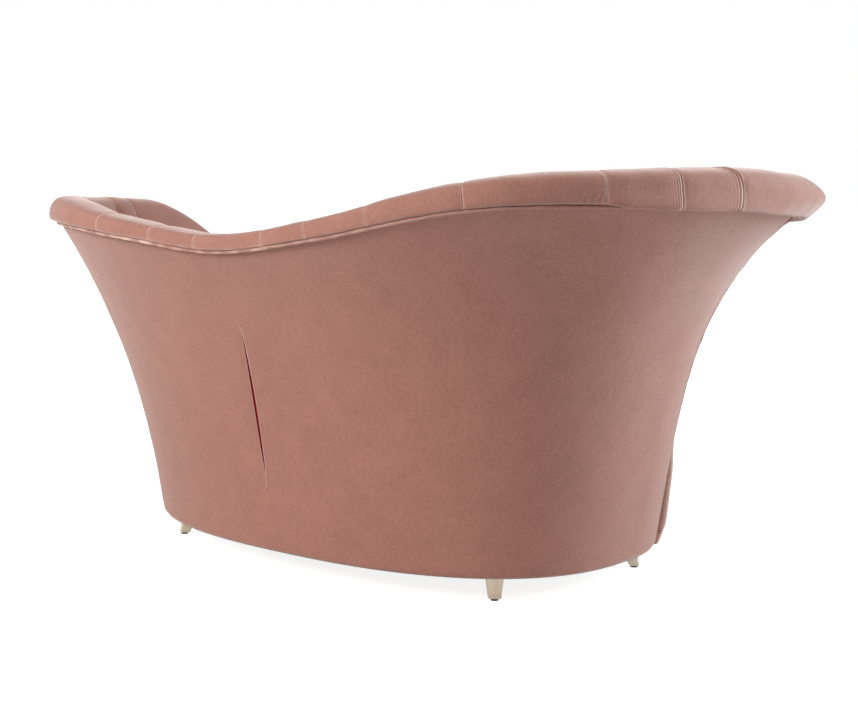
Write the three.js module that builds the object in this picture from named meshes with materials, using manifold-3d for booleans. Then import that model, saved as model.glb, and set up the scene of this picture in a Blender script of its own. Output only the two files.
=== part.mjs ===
// A fainting couch with a flared, wrapped back: a high head end, a dip and a lower arm at the foot end.
// Millimetres, Z up. The back faces +Y, the head end is at -X and the foot end at +X.
import * as THREE from 'three';
import { mergeVertices } from 'three/addons/utils/BufferGeometryUtils.js';
import Module from 'manifold-3d';

const wasm = await Module();
wasm.setup();
const { clamp, lerp } = THREE.MathUtils;

// Plan of the base: part of a superellipse for the wrapped back, a bowed curve for the front
const floorClearance = 59;
const baseHalfLength = 674;
const baseHalfDepth = 428;
const planSquareness = 2.43;
const planSkewShare = 0.02;
const headWrapAngle = 0.41;
const footWrapAngle = 0.28;
const frontBow = 230;

// Flare of the outside back: how far the rim stands out past the base, and how fast it gets there
const flareRise = 840;
const headFlare = 376;
const middleFlare = 308;
const footFlare = 325;
const headLean = 130;
const footLean = 118;
const headFlarePower = 4.33;
const footFlarePower = 2.18;

// Rim height along the back, from the head end to the foot end
const rimHeight = 905;
const rimHeightShares = [0.937, 0.979, 0.996, 0.914, 0.862, 0.88, 0.892, 0.864, 0.836];
const headCornerDrop = 70;
const headCornerShare = 0.03;
const headCornerEndShare = -0.0015;
const footCornerDrop = 250;
const footCornerShare = 0.915;
const footCornerEndShare = 1.003;

// Layers of the back, as depths inward from the outer face
const skinThickness = 7;
const frameGap = 1.5;
const ribDepthBelow = 50;
const ribDepthAbove = 40;
const burlapGap = 3;
const burlapThickness = 2;
const channelGap = 2.5;
const backThicknessBelow = 118;
const backThicknessAbove = 92;
const seatGap = 0.3;
const faceGap = 0.5;

// Heights of the frame
const ringUnderside = 62;
const ringThickness = 30;
const ringWidth = 84;
const deckHeight = 330;
const springRailThickness = 30;
const springRailWidth = 100;
const frontRailHeight = 60;
const frontRailThickness = 35;
const topRailDrop = 8;
const topRailHeight = 30;
const ribWidth = 30;
const ribShares = [0.0145, 0.155, 0.32, 0.475, 0.655, 0.81, 0.965];
const stationSpacing = 85;
const outlineDivisions = 1600;
const rimDivisions = 800;
const searchShares = [0.2, 0.8];
const searchSteps = 40;
const levelCount = 8;
const liningLevelCount = 6;

// Channels of the inside back: their seams along the back, and the roll over the rim
const seamShares = [0, 0.126, 0.167, 0.205, 0.272, 0.335, 0.391, 0.439, 0.53, 0.59, 0.664, 0.866, 0.889, 1];
const rollRise = 92;
const rollRiseShares = [1, 0.93, 0.65, 0.47, 0.4, 0.43, 0.67, 0.71, 0.6];
const rollOverhang = 62;
const rollOverhangShares = [1.27, 0.47, 0.26, 0.16, 0.13, 0.16, 0.39, 0.42, 0.42];
const knobFall = 12;
const footThinShare = 0.42;
const rollOutlineShares = [[0, 0.03], [0.75, 0.1], [1, 0.45], [0.45, 0.86], [-0.3, 1], [-0.7, 0.8]];
const seamDip = 5;
const crownPower = 3;
const valleyDepth = 22;
const seamHalfGap = 1.2;
const channelColumnWidth = 62;
const fewestColumns = 4;
const channelFrontSteps = 14;
const rollSeatGap = 1;
const innerFaceLevels = 4;
const noseLength = 42;
const noseSideInset = 2.5;
const noseLeanShare = 0.2;
const noseSteps = 5;
const noseFootShare = 0.012;

// Piping, slit, apron and seat
const weltRadius = 3.5;
const weltGap = 0.7;
const weltSides = 6;
const weltDrop = 3;
const slitTop = 591;
const slitBottom = 249;
const slitTopShare = 0.511;
const slitBottomShare = 0.521;
const slitWidth = 7;
const slitEndShare = 0.02;
const slitStations = 10;
const cutOverrun = 6;
const liningMargin = 16;
const liningThickness = 2;
const liningGap = 1;
const apronBelly = 18;
const apronBellyShares = [0, 0.92, 0.98, 0.86, 0.72, 0.34, 0.05];
const apronBacking = 9.5;
const apronEndGap = 2;
const bandHeight = 34;
const apronStations = 20;
const apronLevels = 5;
const bandLevels = 2;
const deckSheetThickness = 2;
const seatPadGap = 4;
const seatHeight = 430;
const seatCrown = 19;
const seatEdgeRadius = 14;
const seatStations = 30;
const seatFrontStations = 12;
const seatFrontStartShare = 0.07;
const seatCrownShares = [[1, 0], [0.85, 0.45], [0.6, 0.8], [0.3, 0.97]];
const seatOverhang = 6;

// Springs
const springXs = [-390, -130, 130, 390];
const wireRadius = 1.9;
const wireSides = 4;
const springSwing = 22;
const springPitch = 42;
const springSteps = 4;
const springBearing = 22;

// Legs, glides, bolts and blocks
const legTopWidth = 44;
const legTopDepth = 40;
const legFootWidth = 30;
const legFootDepth = 24;
const legChamferShare = 0.22;
const legKickPower = 0.6;
const legTaperPower = 1.3;
const legTopInset = 60;
const legFootInset = 47;
const legStations = 5;
const glideRadius = 9;
const glideHeight = 5;
const boltRadius = 4;
const boltGap = 0.4;
const boltBelow = 28;
const boltAbove = 34;
const blockLength = 48;
const blockWidth = 56;
const blockHeight = 50;
const blockInset = 54;
const rearHeadLegShare = 0.255;
const rearFootLegShare = 0.772;
const frontLegForward = 27;
const roundSides = 14;

// Stretchers and studs
const stretcherX = 230;
const stretcherWidth = 45;
const stretcherHeight = 34;
const baseStretcherHeight = 24;
const stretcherInset = 62;
const studX = 110;
const studWidth = 40;
const studInset = 14;
const studThickness = 34;
const dustGap = 3;
const dustThickness = 2;

// Colours, roughness and metalness of the materials
const velvet = { color: 0xa97a6e, roughness: 0.85, metalness: 0 };
const velvetLight = { color: 0xb98475, roughness: 0.85, metalness: 0 };
const pipingVelvet = { color: 0xbf9182, roughness: 0.8, metalness: 0 };
const redCloth = { color: 0x8c1420, roughness: 0.9, metalness: 0 };
const silverLeaf = { color: 0xb5a794, roughness: 0.35, metalness: 0.6 };
const darkPlastic = { color: 0x2b2724, roughness: 0.6, metalness: 0 };
const hardwood = { color: 0xb48a5c, roughness: 0.7, metalness: 0 };
const plywood = { color: 0xc9a877, roughness: 0.75, metalness: 0 };
const steel = { color: 0x8d9094, roughness: 0.4, metalness: 0.9 };
const jute = { color: 0xa88f66, roughness: 0.95, metalness: 0 };
const dustCloth = { color: 0x1f1d1c, roughness: 0.95, metalness: 0 };

const couch = new THREE.Group();
couch.name = 'fainting_couch';

function addPiece(name, geometry, look) {
  const mesh = new THREE.Mesh(geometry, new THREE.MeshStandardMaterial(look));
  mesh.name = name;
  couch.add(mesh);
  return mesh;
}

// Plan curve of the base under the wrapped back, head end first
class BackOutline extends THREE.Curve {
  getPoint(t, target = new THREE.Vector3()) {
    const angle = t * (Math.PI + headWrapAngle + footWrapAngle) - headWrapAngle;
    const power = 2 / planSquareness;
    const cosine = Math.cos(angle);
    const sine = Math.sin(angle);
    const x = -baseHalfLength * Math.sign(cosine) * Math.abs(cosine) ** power;
    const skew = 1 - (planSkewShare * x) / baseHalfLength;
    const y = baseHalfDepth * Math.sign(sine) * Math.abs(sine) ** power * skew;
    return target.set(x, y, 0);
  }
}
const backOutline = new BackOutline();
backOutline.arcLengthDivisions = outlineDivisions;
const backLength = backOutline.getLength();

function outwardOf(tangent) {
  return new THREE.Vector3(-tangent.y, tangent.x, 0).normalize();
}

// Past its ends the back runs straight on, so the arm fronts can reach forward
function backFrame(share) {
  const inside = clamp(share, 0, 1);
  const tangent = backOutline.getTangentAt(inside);
  const point = backOutline.getPointAt(inside);
  point.addScaledVector(tangent, (share - inside) * backLength);
  return { point, tangent, outward: outwardOf(tangent) };
}

function throughThree(start, middle, end, share) {
  const startPart = start * (1 - share) * (1 - 2 * share);
  const middlePart = middle * 4 * share * (1 - share);
  return startPart + middlePart + end * share * (2 * share - 1);
}

function flareAt(share, z) {
  const inside = clamp(share, 0, 1);
  const turn = (1 - Math.cos(Math.PI * inside)) / 2;
  const curved = throughThree(headFlare, middleFlare, footFlare, inside) - lerp(headLean, footLean, turn);
  const lean = lerp(headLean, footLean, turn);
  const power = lerp(headFlarePower, footFlarePower, turn);
  const rise = Math.max(0, (z - floorClearance) / flareRise);
  return {
    out: curved * rise ** power + lean * rise,
    slope: (curved * power * rise ** (power - 1) + lean) / flareRise,
  };
}

// A point of the back at a height, some depth inward from its outer face
function backPoint(share, z, depth) {
  const { point, outward } = backFrame(share);
  const { out, slope } = flareAt(share, z);
  return point.addScaledVector(outward, out - depth * Math.hypot(1, slope)).setZ(z);
}

function evenTable(shares, size) {
  const knots = shares.map((share, index) => new THREE.Vector2(index / (shares.length - 1), share * size));
  const curve = new THREE.SplineCurve(knots);
  return (share) => curve.getPoint(clamp(share, 0, 1)).y;
}
const rimLine = evenTable(rimHeightShares, rimHeight);
const rollRiseAt = evenTable(rollRiseShares, rollRise);
const rollOverhangAt = evenTable(rollOverhangShares, rollOverhang);
const bellyAt = evenTable(apronBellyShares, apronBelly);

// A round drop that starts at one share of the back and would end at another
function cornerDrop(share, from, to, drop) {
  const turn = clamp((share - from) / (to - from), 0, 1);
  return drop * (1 - Math.sqrt(1 - turn ** 2));
}

// The rim, with its round drops at the fronts of both arms
function rimZ(share) {
  const headDrop = cornerDrop(share, headCornerShare, headCornerEndShare, headCornerDrop);
  const footDrop = cornerDrop(share, footCornerShare, footCornerEndShare, footCornerDrop);
  return rimLine(clamp(share, 0, 1)) - headDrop - footDrop;
}

function layerDepth(share, z, below, above) {
  return lerp(below, above, clamp((z - deckHeight) / (rimZ(share) - deckHeight), 0, 1));
}

// Front of the base: from the foot corner to the head corner at the height z
function frontCurve(z) {
  const foot = backPoint(1, z, 0);
  const head = backPoint(0, z, 0);
  const footControl = foot.clone().addScaledVector(backFrame(1).tangent, frontBow);
  const headControl = head.clone().addScaledVector(backFrame(0).tangent, -frontBow);
  return new THREE.CubicBezierCurve3(foot, footControl, headControl, head);
}
const frontLength = frontCurve(ringUnderside).getLength();

function frontPoint(share, z, depth) {
  const curve = frontCurve(z);
  const outward = outwardOf(curve.getTangentAt(share));
  return curve.getPointAt(share).addScaledVector(outward, -depth);
}

// One closed way round the base: the back from 0 to 1, the front from 1 to 2
function wallPoint(way, z, depth) {
  const turn = ((way % 2) + 2) % 2;
  return turn <= 1 ? backPoint(turn, z, depth) : frontPoint(turn - 1, z, depth);
}

function spread(from, to, count) {
  return Array.from({ length: count + 1 }, (_, index) => lerp(from, to, index / count));
}

// The rim as a curve, which spaces what runs along it evenly, also where it drops
class RimLine extends THREE.Curve {
  getPoint(t, target = new THREE.Vector3()) {
    return target.copy(backPoint(t, rimZ(t), 0));
  }
}
const rimCurve = new RimLine();
rimCurve.arcLengthDivisions = rimDivisions;
const rimLengths = rimCurve.getLengths();
const rimLength = rimCurve.getLength();

function rimLengthAt(share) {
  return rimLengths[Math.round(clamp(share, 0, 1) * rimDivisions)];
}

function spacedShares(from, to, spacing, fewest) {
  const start = rimLengthAt(from);
  const end = rimLengthAt(to);
  const count = Math.max(fewest, Math.round((end - start) / spacing));
  const inner = spread(start, end, count).slice(1, -1);
  return [from, ...inner.map((length) => rimCurve.getUtoTmapping(length / rimLength)), to];
}

// Stations along the back, shared by its layers, with one at each side of every rib
const ribHalfShare = ribWidth / 2 / backLength;
function makeBackStations() {
  const list = [0];
  ribShares.forEach((share) => {
    const start = list[list.length - 1];
    list.push(...spacedShares(start, share - ribHalfShare, stationSpacing, 1).slice(1), share + ribHalfShare);
  });
  list.push(...spacedShares(list[list.length - 1], 1, stationSpacing / 2, 3).slice(1));
  return list;
}
const backStations = makeBackStations();
const lastRibShare = ribShares[ribShares.length - 1];
const innerStations = backStations.filter((share) => (
  share > ribShares[0] + 2 * ribHalfShare && share < lastRibShare - 2 * ribHalfShare
));
const headStations = backStations.filter((share) => share < innerStations[0]);
const footStations = backStations.filter((share) => share > innerStations[innerStations.length - 1]);

// Solids lofted through rings of points

function flatOutline(ring) {
  const normal = new THREE.Vector3();
  const middle = new THREE.Vector3();
  ring.forEach((point, index) => {
    const next = ring[(index + 1) % ring.length];
    normal.add(point.clone().cross(next));
    middle.add(point);
  });
  middle.divideScalar(ring.length);
  normal.normalize();
  const across = ring[0].clone().sub(middle).projectOnPlane(normal).normalize();
  const along = normal.clone().cross(across);
  return ring.map((point) => {
    const arm = point.clone().sub(middle);
    return new THREE.Vector2(arm.dot(across), arm.dot(along));
  });
}

function capFaces(ring, firstIndex, reversed) {
  const outline = flatOutline(ring);
  const ringTurn = Math.sign(THREE.ShapeUtils.area(outline));
  return THREE.ShapeUtils.triangulateShape(outline, []).flatMap((face) => {
    const faceTurn = Math.sign(THREE.ShapeUtils.area(face.map((index) => outline[index])));
    const flip = (faceTurn !== ringTurn) !== reversed;
    const ordered = flip ? [...face].reverse() : face;
    return ordered.map((index) => index + firstIndex);
  });
}

function signedVolume(points, faces) {
  let total = 0;
  for (let i = 0; i < faces.length; i += 3) {
    total += points[faces[i]].dot(points[faces[i + 1]].clone().cross(points[faces[i + 2]]));
  }
  return total;
}

function loft(rings) {
  const count = rings[0].length;
  const points = rings.flat();
  const faces = [];
  for (let row = 0; row < rings.length - 1; row += 1) {
    for (let i = 0; i < count; i += 1) {
      const here = row * count + i;
      const next = row * count + ((i + 1) % count);
      faces.push(here, next, next + count, here, next + count, here + count);
    }
  }
  faces.push(...capFaces(rings[0], 0, true));
  faces.push(...capFaces(rings[rings.length - 1], points.length - count, false));
  if (signedVolume(points, faces) < 0) faces.reverse();
  const geometry = new THREE.BufferGeometry().setFromPoints(points);
  geometry.setIndex(faces);
  geometry.computeVertexNormals();
  return geometry;
}

// Cuts made on closed solids
function toSolid(geometry) {
  const bare = geometry.clone();
  bare.deleteAttribute('normal');
  bare.deleteAttribute('uv');
  const merged = mergeVertices(bare);
  return new wasm.Manifold(
    new wasm.Mesh({
      numProp: 3,
      vertProperties: merged.attributes.position.array,
      triVerts: Uint32Array.from(merged.index.array),
    }),
  );
}

function cutAway(geometry, cutters) {
  const cut = cutters.reduce((solid, cutter) => solid.subtract(toSolid(cutter)), toSolid(geometry));
  const { vertProperties, triVerts } = cut.getMesh();
  const result = new THREE.BufferGeometry();
  result.setAttribute('position', new THREE.BufferAttribute(vertProperties, 3));
  result.setIndex(new THREE.BufferAttribute(triVerts, 1));
  result.computeVertexNormals();
  return result;
}

// A layer of the back between two depths, from a foot height to a drop below the rim
function backLayer(stations, footZ, rimDrop, outerDepth, innerDepth, count = levelCount) {
  return loft(stations.map((share) => {
    const levels = spread(footZ, rimZ(share) - rimDrop, count);
    const outer = levels.map((z) => backPoint(share, z, outerDepth(share, z)));
    const inner = levels.map((z) => backPoint(share, z, innerDepth(share, z)));
    return [...outer, ...inner.reverse()];
  }));
}

// A bar of rectangular section along the way round the base
function wallBar(ways, bottomZ, topZ, outerDepth, innerDepth) {
  return loft(ways.map((way) => [
    wallPoint(way, bottomZ, outerDepth),
    wallPoint(way, topZ, outerDepth),
    wallPoint(way, topZ, innerDepth),
    wallPoint(way, bottomZ, innerDepth),
  ]));
}

const frameDepth = skinThickness + frameGap;
const ribInner = (share, z) => layerDepth(share, z, ribDepthBelow, ribDepthAbove);
const burlapOuter = (share, z) => ribInner(share, z) + burlapGap;
const burlapInner = (share, z) => burlapOuter(share, z) + burlapThickness;
const channelBack = (share, z) => burlapInner(share, z) + channelGap;
const ringTop = ringUnderside + ringThickness;

// Legs: where each stands on the way round the base
const frontLegShare = frontLegForward / frontLength;
const legPlaces = {
  rear_head: rearHeadLegShare,
  rear_foot: rearFootLegShare,
  front_head: 2 - frontLegShare,
  front_foot: 1 + frontLegShare,
};

function legFrame(way) {
  const turn = way > 1 ? way - 1 : way;
  const tangent = way > 1 ? frontCurve(ringUnderside).getTangentAt(turn) : backFrame(turn).tangent;
  return { tangent, outward: outwardOf(tangent) };
}

function boltLine(way) {
  return wallPoint(way, ringUnderside, legTopInset);
}

function upright(radiusTop, radiusBottom, bottomZ, topZ, centre) {
  const cylinder = new THREE.CylinderGeometry(radiusTop, radiusBottom, topZ - bottomZ, roundSides);
  cylinder.rotateX(Math.PI / 2);
  cylinder.translate(centre.x, centre.y, (bottomZ + topZ) / 2);
  return cylinder;
}

function boltBore(way) {
  const radius = boltRadius + boltGap;
  const bottom = ringUnderside - boltBelow - boltGap;
  return upright(radius, radius, bottom, ringTop + boltAbove + boltGap, boltLine(way));
}

function makeLegGeometry(way) {
  const { tangent, outward } = legFrame(way);
  const top = ringUnderside - seatGap;
  const rings = spread(0, 1, legStations).map((share) => {
    const centre = wallPoint(way, ringUnderside, lerp(legFootInset, legTopInset, share ** legKickPower));
    const halfWidth = lerp(legFootWidth, legTopWidth, share) / 2;
    const halfDepth = lerp(legFootDepth, legTopDepth, share ** legTaperPower) / 2;
    const chamfer = legChamferShare * halfDepth;
    const corners = [
      [halfWidth, halfDepth - chamfer], [halfWidth - chamfer, halfDepth],
      [chamfer - halfWidth, halfDepth], [-halfWidth, halfDepth - chamfer],
      [-halfWidth, chamfer - halfDepth], [chamfer - halfWidth, -halfDepth],
      [halfWidth - chamfer, -halfDepth], [halfWidth, chamfer - halfDepth],
    ];
    return corners.map(([along, out]) => centre.clone()
      .addScaledVector(tangent, along)
      .addScaledVector(outward, out)
      .setZ(lerp(glideHeight, top, share)));
  });
  return loft(rings);
}

function makeLegs() {
  Object.entries(legPlaces).forEach(([place, way]) => {
    addPiece(`leg_${place}`, cutAway(makeLegGeometry(way), [boltBore(way)]), silverLeaf);
    const foot = wallPoint(way, ringUnderside, legFootInset);
    const glide = upright(glideRadius, glideRadius, 0, glideHeight - seatGap, foot);
    addPiece(`glide_${place}`, glide, darkPlastic);
    const bolt = upright(boltRadius, boltRadius, ringUnderside - boltBelow, ringTop + boltAbove, boltLine(way));
    addPiece(`leg_bolt_${place}`, bolt, steel);
    addPiece(`leg_block_${place}`, makeLegBlock(way), hardwood);
  });
}

// A block lies square to the rib beside it, also under the front corners
function makeLegBlock(way) {
  const ribSide = way > 1 ? Math.round(2 - way) : way;
  const { tangent } = backFrame(ribSide);
  const centre = wallPoint(way, ringUnderside, blockInset);
  const block = new THREE.BoxGeometry(blockLength, blockWidth, blockHeight);
  block.rotateZ(Math.atan2(tangent.y, tangent.x));
  block.translate(centre.x, centre.y, ringTop + seatGap + blockHeight / 2);
  return cutAway(block, [boltBore(way)]);
}

// Base ring in two curved pieces that meet behind the front corners
function makeBaseRings() {
  const outer = apronBacking + faceGap;
  const inner = outer + ringWidth;
  const back = wallBar(innerStations, ringUnderside, ringTop, outer, inner);
  addPiece('base_ring_back', cutAway(back, [boltBore(legPlaces.rear_head), boltBore(legPlaces.rear_foot)]), plywood);
  const jointShare = seatGap / backLength;
  const footEnd = [innerStations[innerStations.length - 1] + jointShare, ...footStations.slice(0, -1)];
  const headEnd = [...headStations.slice(1), innerStations[0] - jointShare].map((share) => share + 2);
  const frontWays = [...footEnd, ...frontStations(0), ...headEnd];
  const front = wallBar(frontWays, ringUnderside, ringTop, outer, inner);
  addPiece('base_ring_front', cutAway(front, [boltBore(legPlaces.front_head), boltBore(legPlaces.front_foot)]), plywood);
}

// Ways along the front, from an end gap past the foot corner to the same before the head corner
function frontStations(endGap) {
  const margin = endGap / frontLength;
  return [1 + margin, ...spread(1, 2, apronStations).slice(1, -1), 2 - margin];
}

function makeRibs() {
  ribShares.forEach((share, index) => {
    const sides = [share - ribHalfShare, share + ribHalfShare];
    const drop = topRailDrop + topRailHeight + seatGap;
    const rib = backLayer(sides, ringTop + seatGap, drop, () => frameDepth + frameGap, ribInner);
    addPiece(`rib_${index + 1}`, rib, plywood);
  });
}

function makeTopRail() {
  const rail = loft(backStations.map((share) => {
    const top = rimZ(share) - topRailDrop;
    const bottom = top - topRailHeight;
    return [
      backPoint(share, bottom, ribInner(share, bottom)),
      backPoint(share, top, ribInner(share, top)),
      backPoint(share, top, frameDepth),
      backPoint(share, bottom, frameDepth),
    ];
  }));
  addPiece('top_rail', rail, plywood);
}

function makeSpringRails() {
  const railBottom = deckHeight - springRailThickness;
  const inner = ribDepthBelow + seatGap;
  const ways = [headStations[headStations.length - 1], ...innerStations, footStations[0]];
  addPiece('spring_rail_back', wallBar(ways, railBottom, deckHeight, inner, inner + springRailWidth), plywood);
  const outer = apronBacking + faceGap;
  const frontWays = frontStations(0).slice(1, -1);
  const front = wallBar(frontWays, deckHeight - frontRailHeight, deckHeight, outer, outer + frontRailThickness);
  addPiece('spring_rail_front', front, hardwood);
}

// Finds where a rising or falling run of points passes a given x
function shareAtX(pointAt, x) {
  let [low, high] = searchShares;
  const rising = pointAt(high).x > pointAt(low).x;
  for (let step = 0; step < searchSteps; step += 1) {
    const middle = (low + high) / 2;
    const beyond = pointAt(middle).x > x;
    if (beyond === rising) high = middle;
    else low = middle;
  }
  return (low + high) / 2;
}

function crossSpan(x, z, frontDepth, backDepth) {
  const backAt = (share) => backPoint(share, z, backDepth);
  const frontAt = (share) => frontPoint(share, z, frontDepth);
  return { front: frontAt(shareAtX(frontAt, x)).y, back: backAt(shareAtX(backAt, x)).y };
}

function crossBeam(x, bottomZ, height, frontDepth, backDepth) {
  const { front, back } = crossSpan(x, bottomZ, frontDepth, backDepth);
  const beam = new THREE.BoxGeometry(stretcherWidth, back - front, height);
  beam.translate(x, (front + back) / 2, bottomZ + height / 2);
  return beam;
}

function makeStretchers() {
  const places = { head: -stretcherX, foot: stretcherX };
  Object.entries(places).forEach(([place, x]) => {
    const base = crossBeam(x, ringTop + seatGap, baseStretcherHeight, studInset + studThickness, stretcherInset);
    addPiece(`base_stretcher_${place}`, base, hardwood);
    const deckBottom = deckHeight - frontRailHeight - seatGap - stretcherHeight;
    const railInner = apronBacking + faceGap + frontRailThickness;
    const top = crossBeam(x, deckBottom, stretcherHeight, railInner / 2, ribDepthBelow + springRailWidth / 2);
    addPiece(`deck_stretcher_${place}`, top, hardwood);
  });
}

function makeFrontStuds() {
  const bottom = ringTop + seatGap;
  const top = deckHeight - frontRailHeight - seatGap;
  const places = { head: -studX, foot: studX };
  Object.entries(places).forEach(([place, x]) => {
    const { front } = crossSpan(x, bottom, studInset, stretcherInset);
    const stud = new THREE.BoxGeometry(studWidth, studThickness, top - bottom);
    stud.translate(x, front + studThickness / 2, (top + bottom) / 2);
    addPiece(`front_stud_${place}`, stud, hardwood);
  });
}

// Zigzag wire springs, laid from the front rail to the back rail
function makeSprings() {
  const z = deckHeight + seatGap + wireRadius;
  springXs.forEach((x, index) => {
    const frontDepth = apronBacking + faceGap + springBearing / 2;
    const backDepth = ribDepthBelow + springRailWidth - springBearing;
    const { front, back } = crossSpan(x, z, frontDepth, backDepth);
    const halfWaves = Math.round((back - front) / springPitch);
    const points = spread(0, 1, halfWaves * springSteps).map((share) => {
      const swing = springSwing * Math.sin(share * halfWaves * Math.PI);
      return new THREE.Vector3(x + swing, lerp(front, back, share), z);
    });
    addPiece(`seat_spring_${index + 1}`, roundTube(points, wireRadius, wireSides, points.length - 1), steel);
  });
}

function roundTube(points, radius, sides, steps) {
  const outline = new THREE.Shape(spread(0, 2 * Math.PI, sides).slice(1).map((angle) => (
    new THREE.Vector2(radius * Math.cos(angle), radius * Math.sin(angle))
  )));
  const path = new THREE.CatmullRomCurve3(points, false, 'centripetal');
  return new THREE.ExtrudeGeometry(outline, { steps, extrudePath: path });
}

function makeOutsideBack() {
  const skin = backLayer(backStations, floorClearance, 0, () => 0, () => skinThickness);
  addPiece('outside_back', cutAway(skin, [makeSlitCutter()]), velvet);
}

function slitShareAt(z) {
  return lerp(slitBottomShare, slitTopShare, (z - slitBottom) / (slitTop - slitBottom));
}

function makeSlitCutter() {
  return loft(spread(0, 1, slitStations).map((share) => {
    const z = lerp(slitBottom, slitTop, share);
    const half = (slitWidth / 2) * Math.max(Math.sin(Math.PI * share), slitEndShare);
    const { tangent } = backFrame(slitShareAt(z));
    return [[-half, -cutOverrun], [half, -cutOverrun], [half, skinThickness + cutOverrun],
      [-half, skinThickness + cutOverrun]].map(([along, depth]) => (
      backPoint(slitShareAt(z), z, depth).addScaledVector(tangent, along)
    ));
  }));
}

function makeSlitLining() {
  const outer = skinThickness + liningGap;
  const lining = loft(spread(slitBottom - liningMargin, slitTop + liningMargin, slitStations).map((z) => {
    const { tangent } = backFrame(slitShareAt(z));
    return [[-liningMargin, outer], [liningMargin, outer], [liningMargin, outer + liningThickness],
      [-liningMargin, outer + liningThickness]].map(([along, depth]) => (
      backPoint(slitShareAt(z), z, depth).addScaledVector(tangent, along)
    ));
  }));
  addPiece('slit_lining', lining, redCloth);
}

// Piping up one front edge, along the rim and down the other
function makeWelt() {
  const stand = weltRadius + weltGap;
  const stop = (share, z) => ({ point: backPoint(share, z, -stand), outward: backFrame(share).outward });
  const edge = (end, inward) => spread(floorClearance, rimZ(end), levelCount).slice(0, -1)
    .map((z) => stop(end + inward / backLength, z));
  const stops = [
    ...edge(0, weltDrop),
    ...backStations.slice(1, -1).map((share) => {
      const { point, outward, lift } = rimFrame(share);
      return { point: point.addScaledVector(outward, stand).addScaledVector(lift, -weltDrop), outward };
    }),
    ...edge(1, -weltDrop).reverse(),
  ];
  addPiece('back_welt', rodThrough(stops, weltRadius, weltSides), pipingVelvet);
}

function rodThrough(stops, radius, sides) {
  return loft(stops.map(({ point, outward }, index) => {
    const before = stops[Math.max(0, index - 1)].point;
    const after = stops[Math.min(stops.length - 1, index + 1)].point;
    const tangent = after.clone().sub(before).normalize();
    const aside = tangent.clone().cross(outward).normalize();
    const out = aside.clone().cross(tangent);
    return spread(0, 2 * Math.PI, sides).slice(1).map((angle) => point.clone()
      .addScaledVector(out, radius * Math.cos(angle))
      .addScaledVector(aside, radius * Math.sin(angle)));
  }));
}

// Axes of the rim: outward, and the lift at right angles to both the rim and the outward axis
function rimFrame(share) {
  const inside = clamp(share, 0, 1);
  const step = ribHalfShare;
  const before = clamp(inside - step, 0, 1);
  const after = clamp(inside + step, 0, 1);
  const tangent = backPoint(after, rimZ(after), 0).sub(backPoint(before, rimZ(before), 0));
  const { outward } = backFrame(inside);
  return { point: backPoint(share, rimZ(inside), 0), outward, lift: tangent.cross(outward).normalize() };
}

function innerThickness(share, z, crown) {
  return layerDepth(share, z, backThicknessBelow, backThicknessAbove) - valleyDepth * (1 - crown);
}

// A stop of the roll on the rim: the place, its axes, the size of the roll and where its lines end at the deck
function rimStop(share, footShare) {
  const fallen = cornerDrop(share, headCornerShare, headCornerEndShare, headCornerDrop) / knobFall;
  const proud = Math.sqrt(1 - clamp(fallen, 0, 1) ** 2);
  return {
    ...rimFrame(share),
    share,
    footShare,
    top: rimZ(share),
    drop: topRailDrop,
    rise: riseAt(share),
    overhang: lerp(-noseSideInset, rollOverhangAt(share), proud),
    lean: noseLeanShare * (1 - proud),
  };
}

// The roll thins towards the foot corner
function riseAt(share) {
  const turn = clamp((share - footCornerShare) / (footCornerEndShare - footCornerShare), 0, 1);
  return rollRiseAt(share) * (1 - footThinShare * turn * turn);
}

// A stop on the front edge of an arm, some part of the way down from the rim to the deck
function frontStop(end, down, footShare) {
  const { tangent, outward } = backFrame(end);
  const top = lerp(rimZ(end), deckHeight + seatGap, down);
  return {
    point: backPoint(end, top, 0),
    outward,
    lift: tangent.multiplyScalar(end === 0 ? -1 : 1),
    share: end,
    footShare,
    top,
    drop: 0,
    rise: lerp(riseAt(end), noseLength, Math.min(1, 2 * down)),
    overhang: -noseSideInset,
    lean: noseLeanShare,
  };
}

// Points of a stop's line from the rim to the deck, at a depth inward from the outer face
function stopLine(stop, startZ, count, depthAt) {
  return spread(0, 1, count).map((down) => {
    const share = lerp(stop.share, stop.footShare, down);
    const z = lerp(startZ, deckHeight + seatGap, down);
    return backPoint(share, z, depthAt(share, z));
  });
}

// The covered face of a channel, from the welt over the roll and down to the deck
function channelFront(stop, crown) {
  const { point, outward, lift, share, top } = stop;
  const dip = seamDip * (1 - crown);
  const depthAt = (along, z) => innerThickness(along, z, crown);
  const reach = depthAt(share, top) * Math.hypot(1, flareAt(share, top).slope);
  const roll = rollOutlineShares.map(([across, height]) => {
    const up = Math.max(height * (stop.rise - dip), rollSeatGap);
    const out = across > 0 ? across * (stop.overhang - dip) - stop.lean * up : across * reach;
    return point.clone().addScaledVector(outward, out).addScaledVector(lift, up);
  });
  const face = stopLine(stop, top, innerFaceLevels, depthAt);
  const curve = new THREE.CatmullRomCurve3([...roll, ...face], false, 'centripetal');
  return spread(0, 1, channelFrontSteps).map((step) => curve.getPoint(step));
}

// The hidden side of a channel, up from the deck against the burlap and over the rim
function channelRear(stop) {
  const { point, outward, lift, share, top } = stop;
  const face = stopLine(stop, top - stop.drop, liningLevelCount, channelBack).reverse();
  const head = backPoint(share, top, channelBack(share, top)).addScaledVector(lift, 2 * rollSeatGap);
  const lip = point.clone().addScaledVector(outward, -skinThickness).addScaledVector(lift, rollSeatGap);
  return [...face, head, lip];
}

function channelRing(stop, crown) {
  return [...channelFront(stop, crown), ...channelRear(stop)];
}

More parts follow.
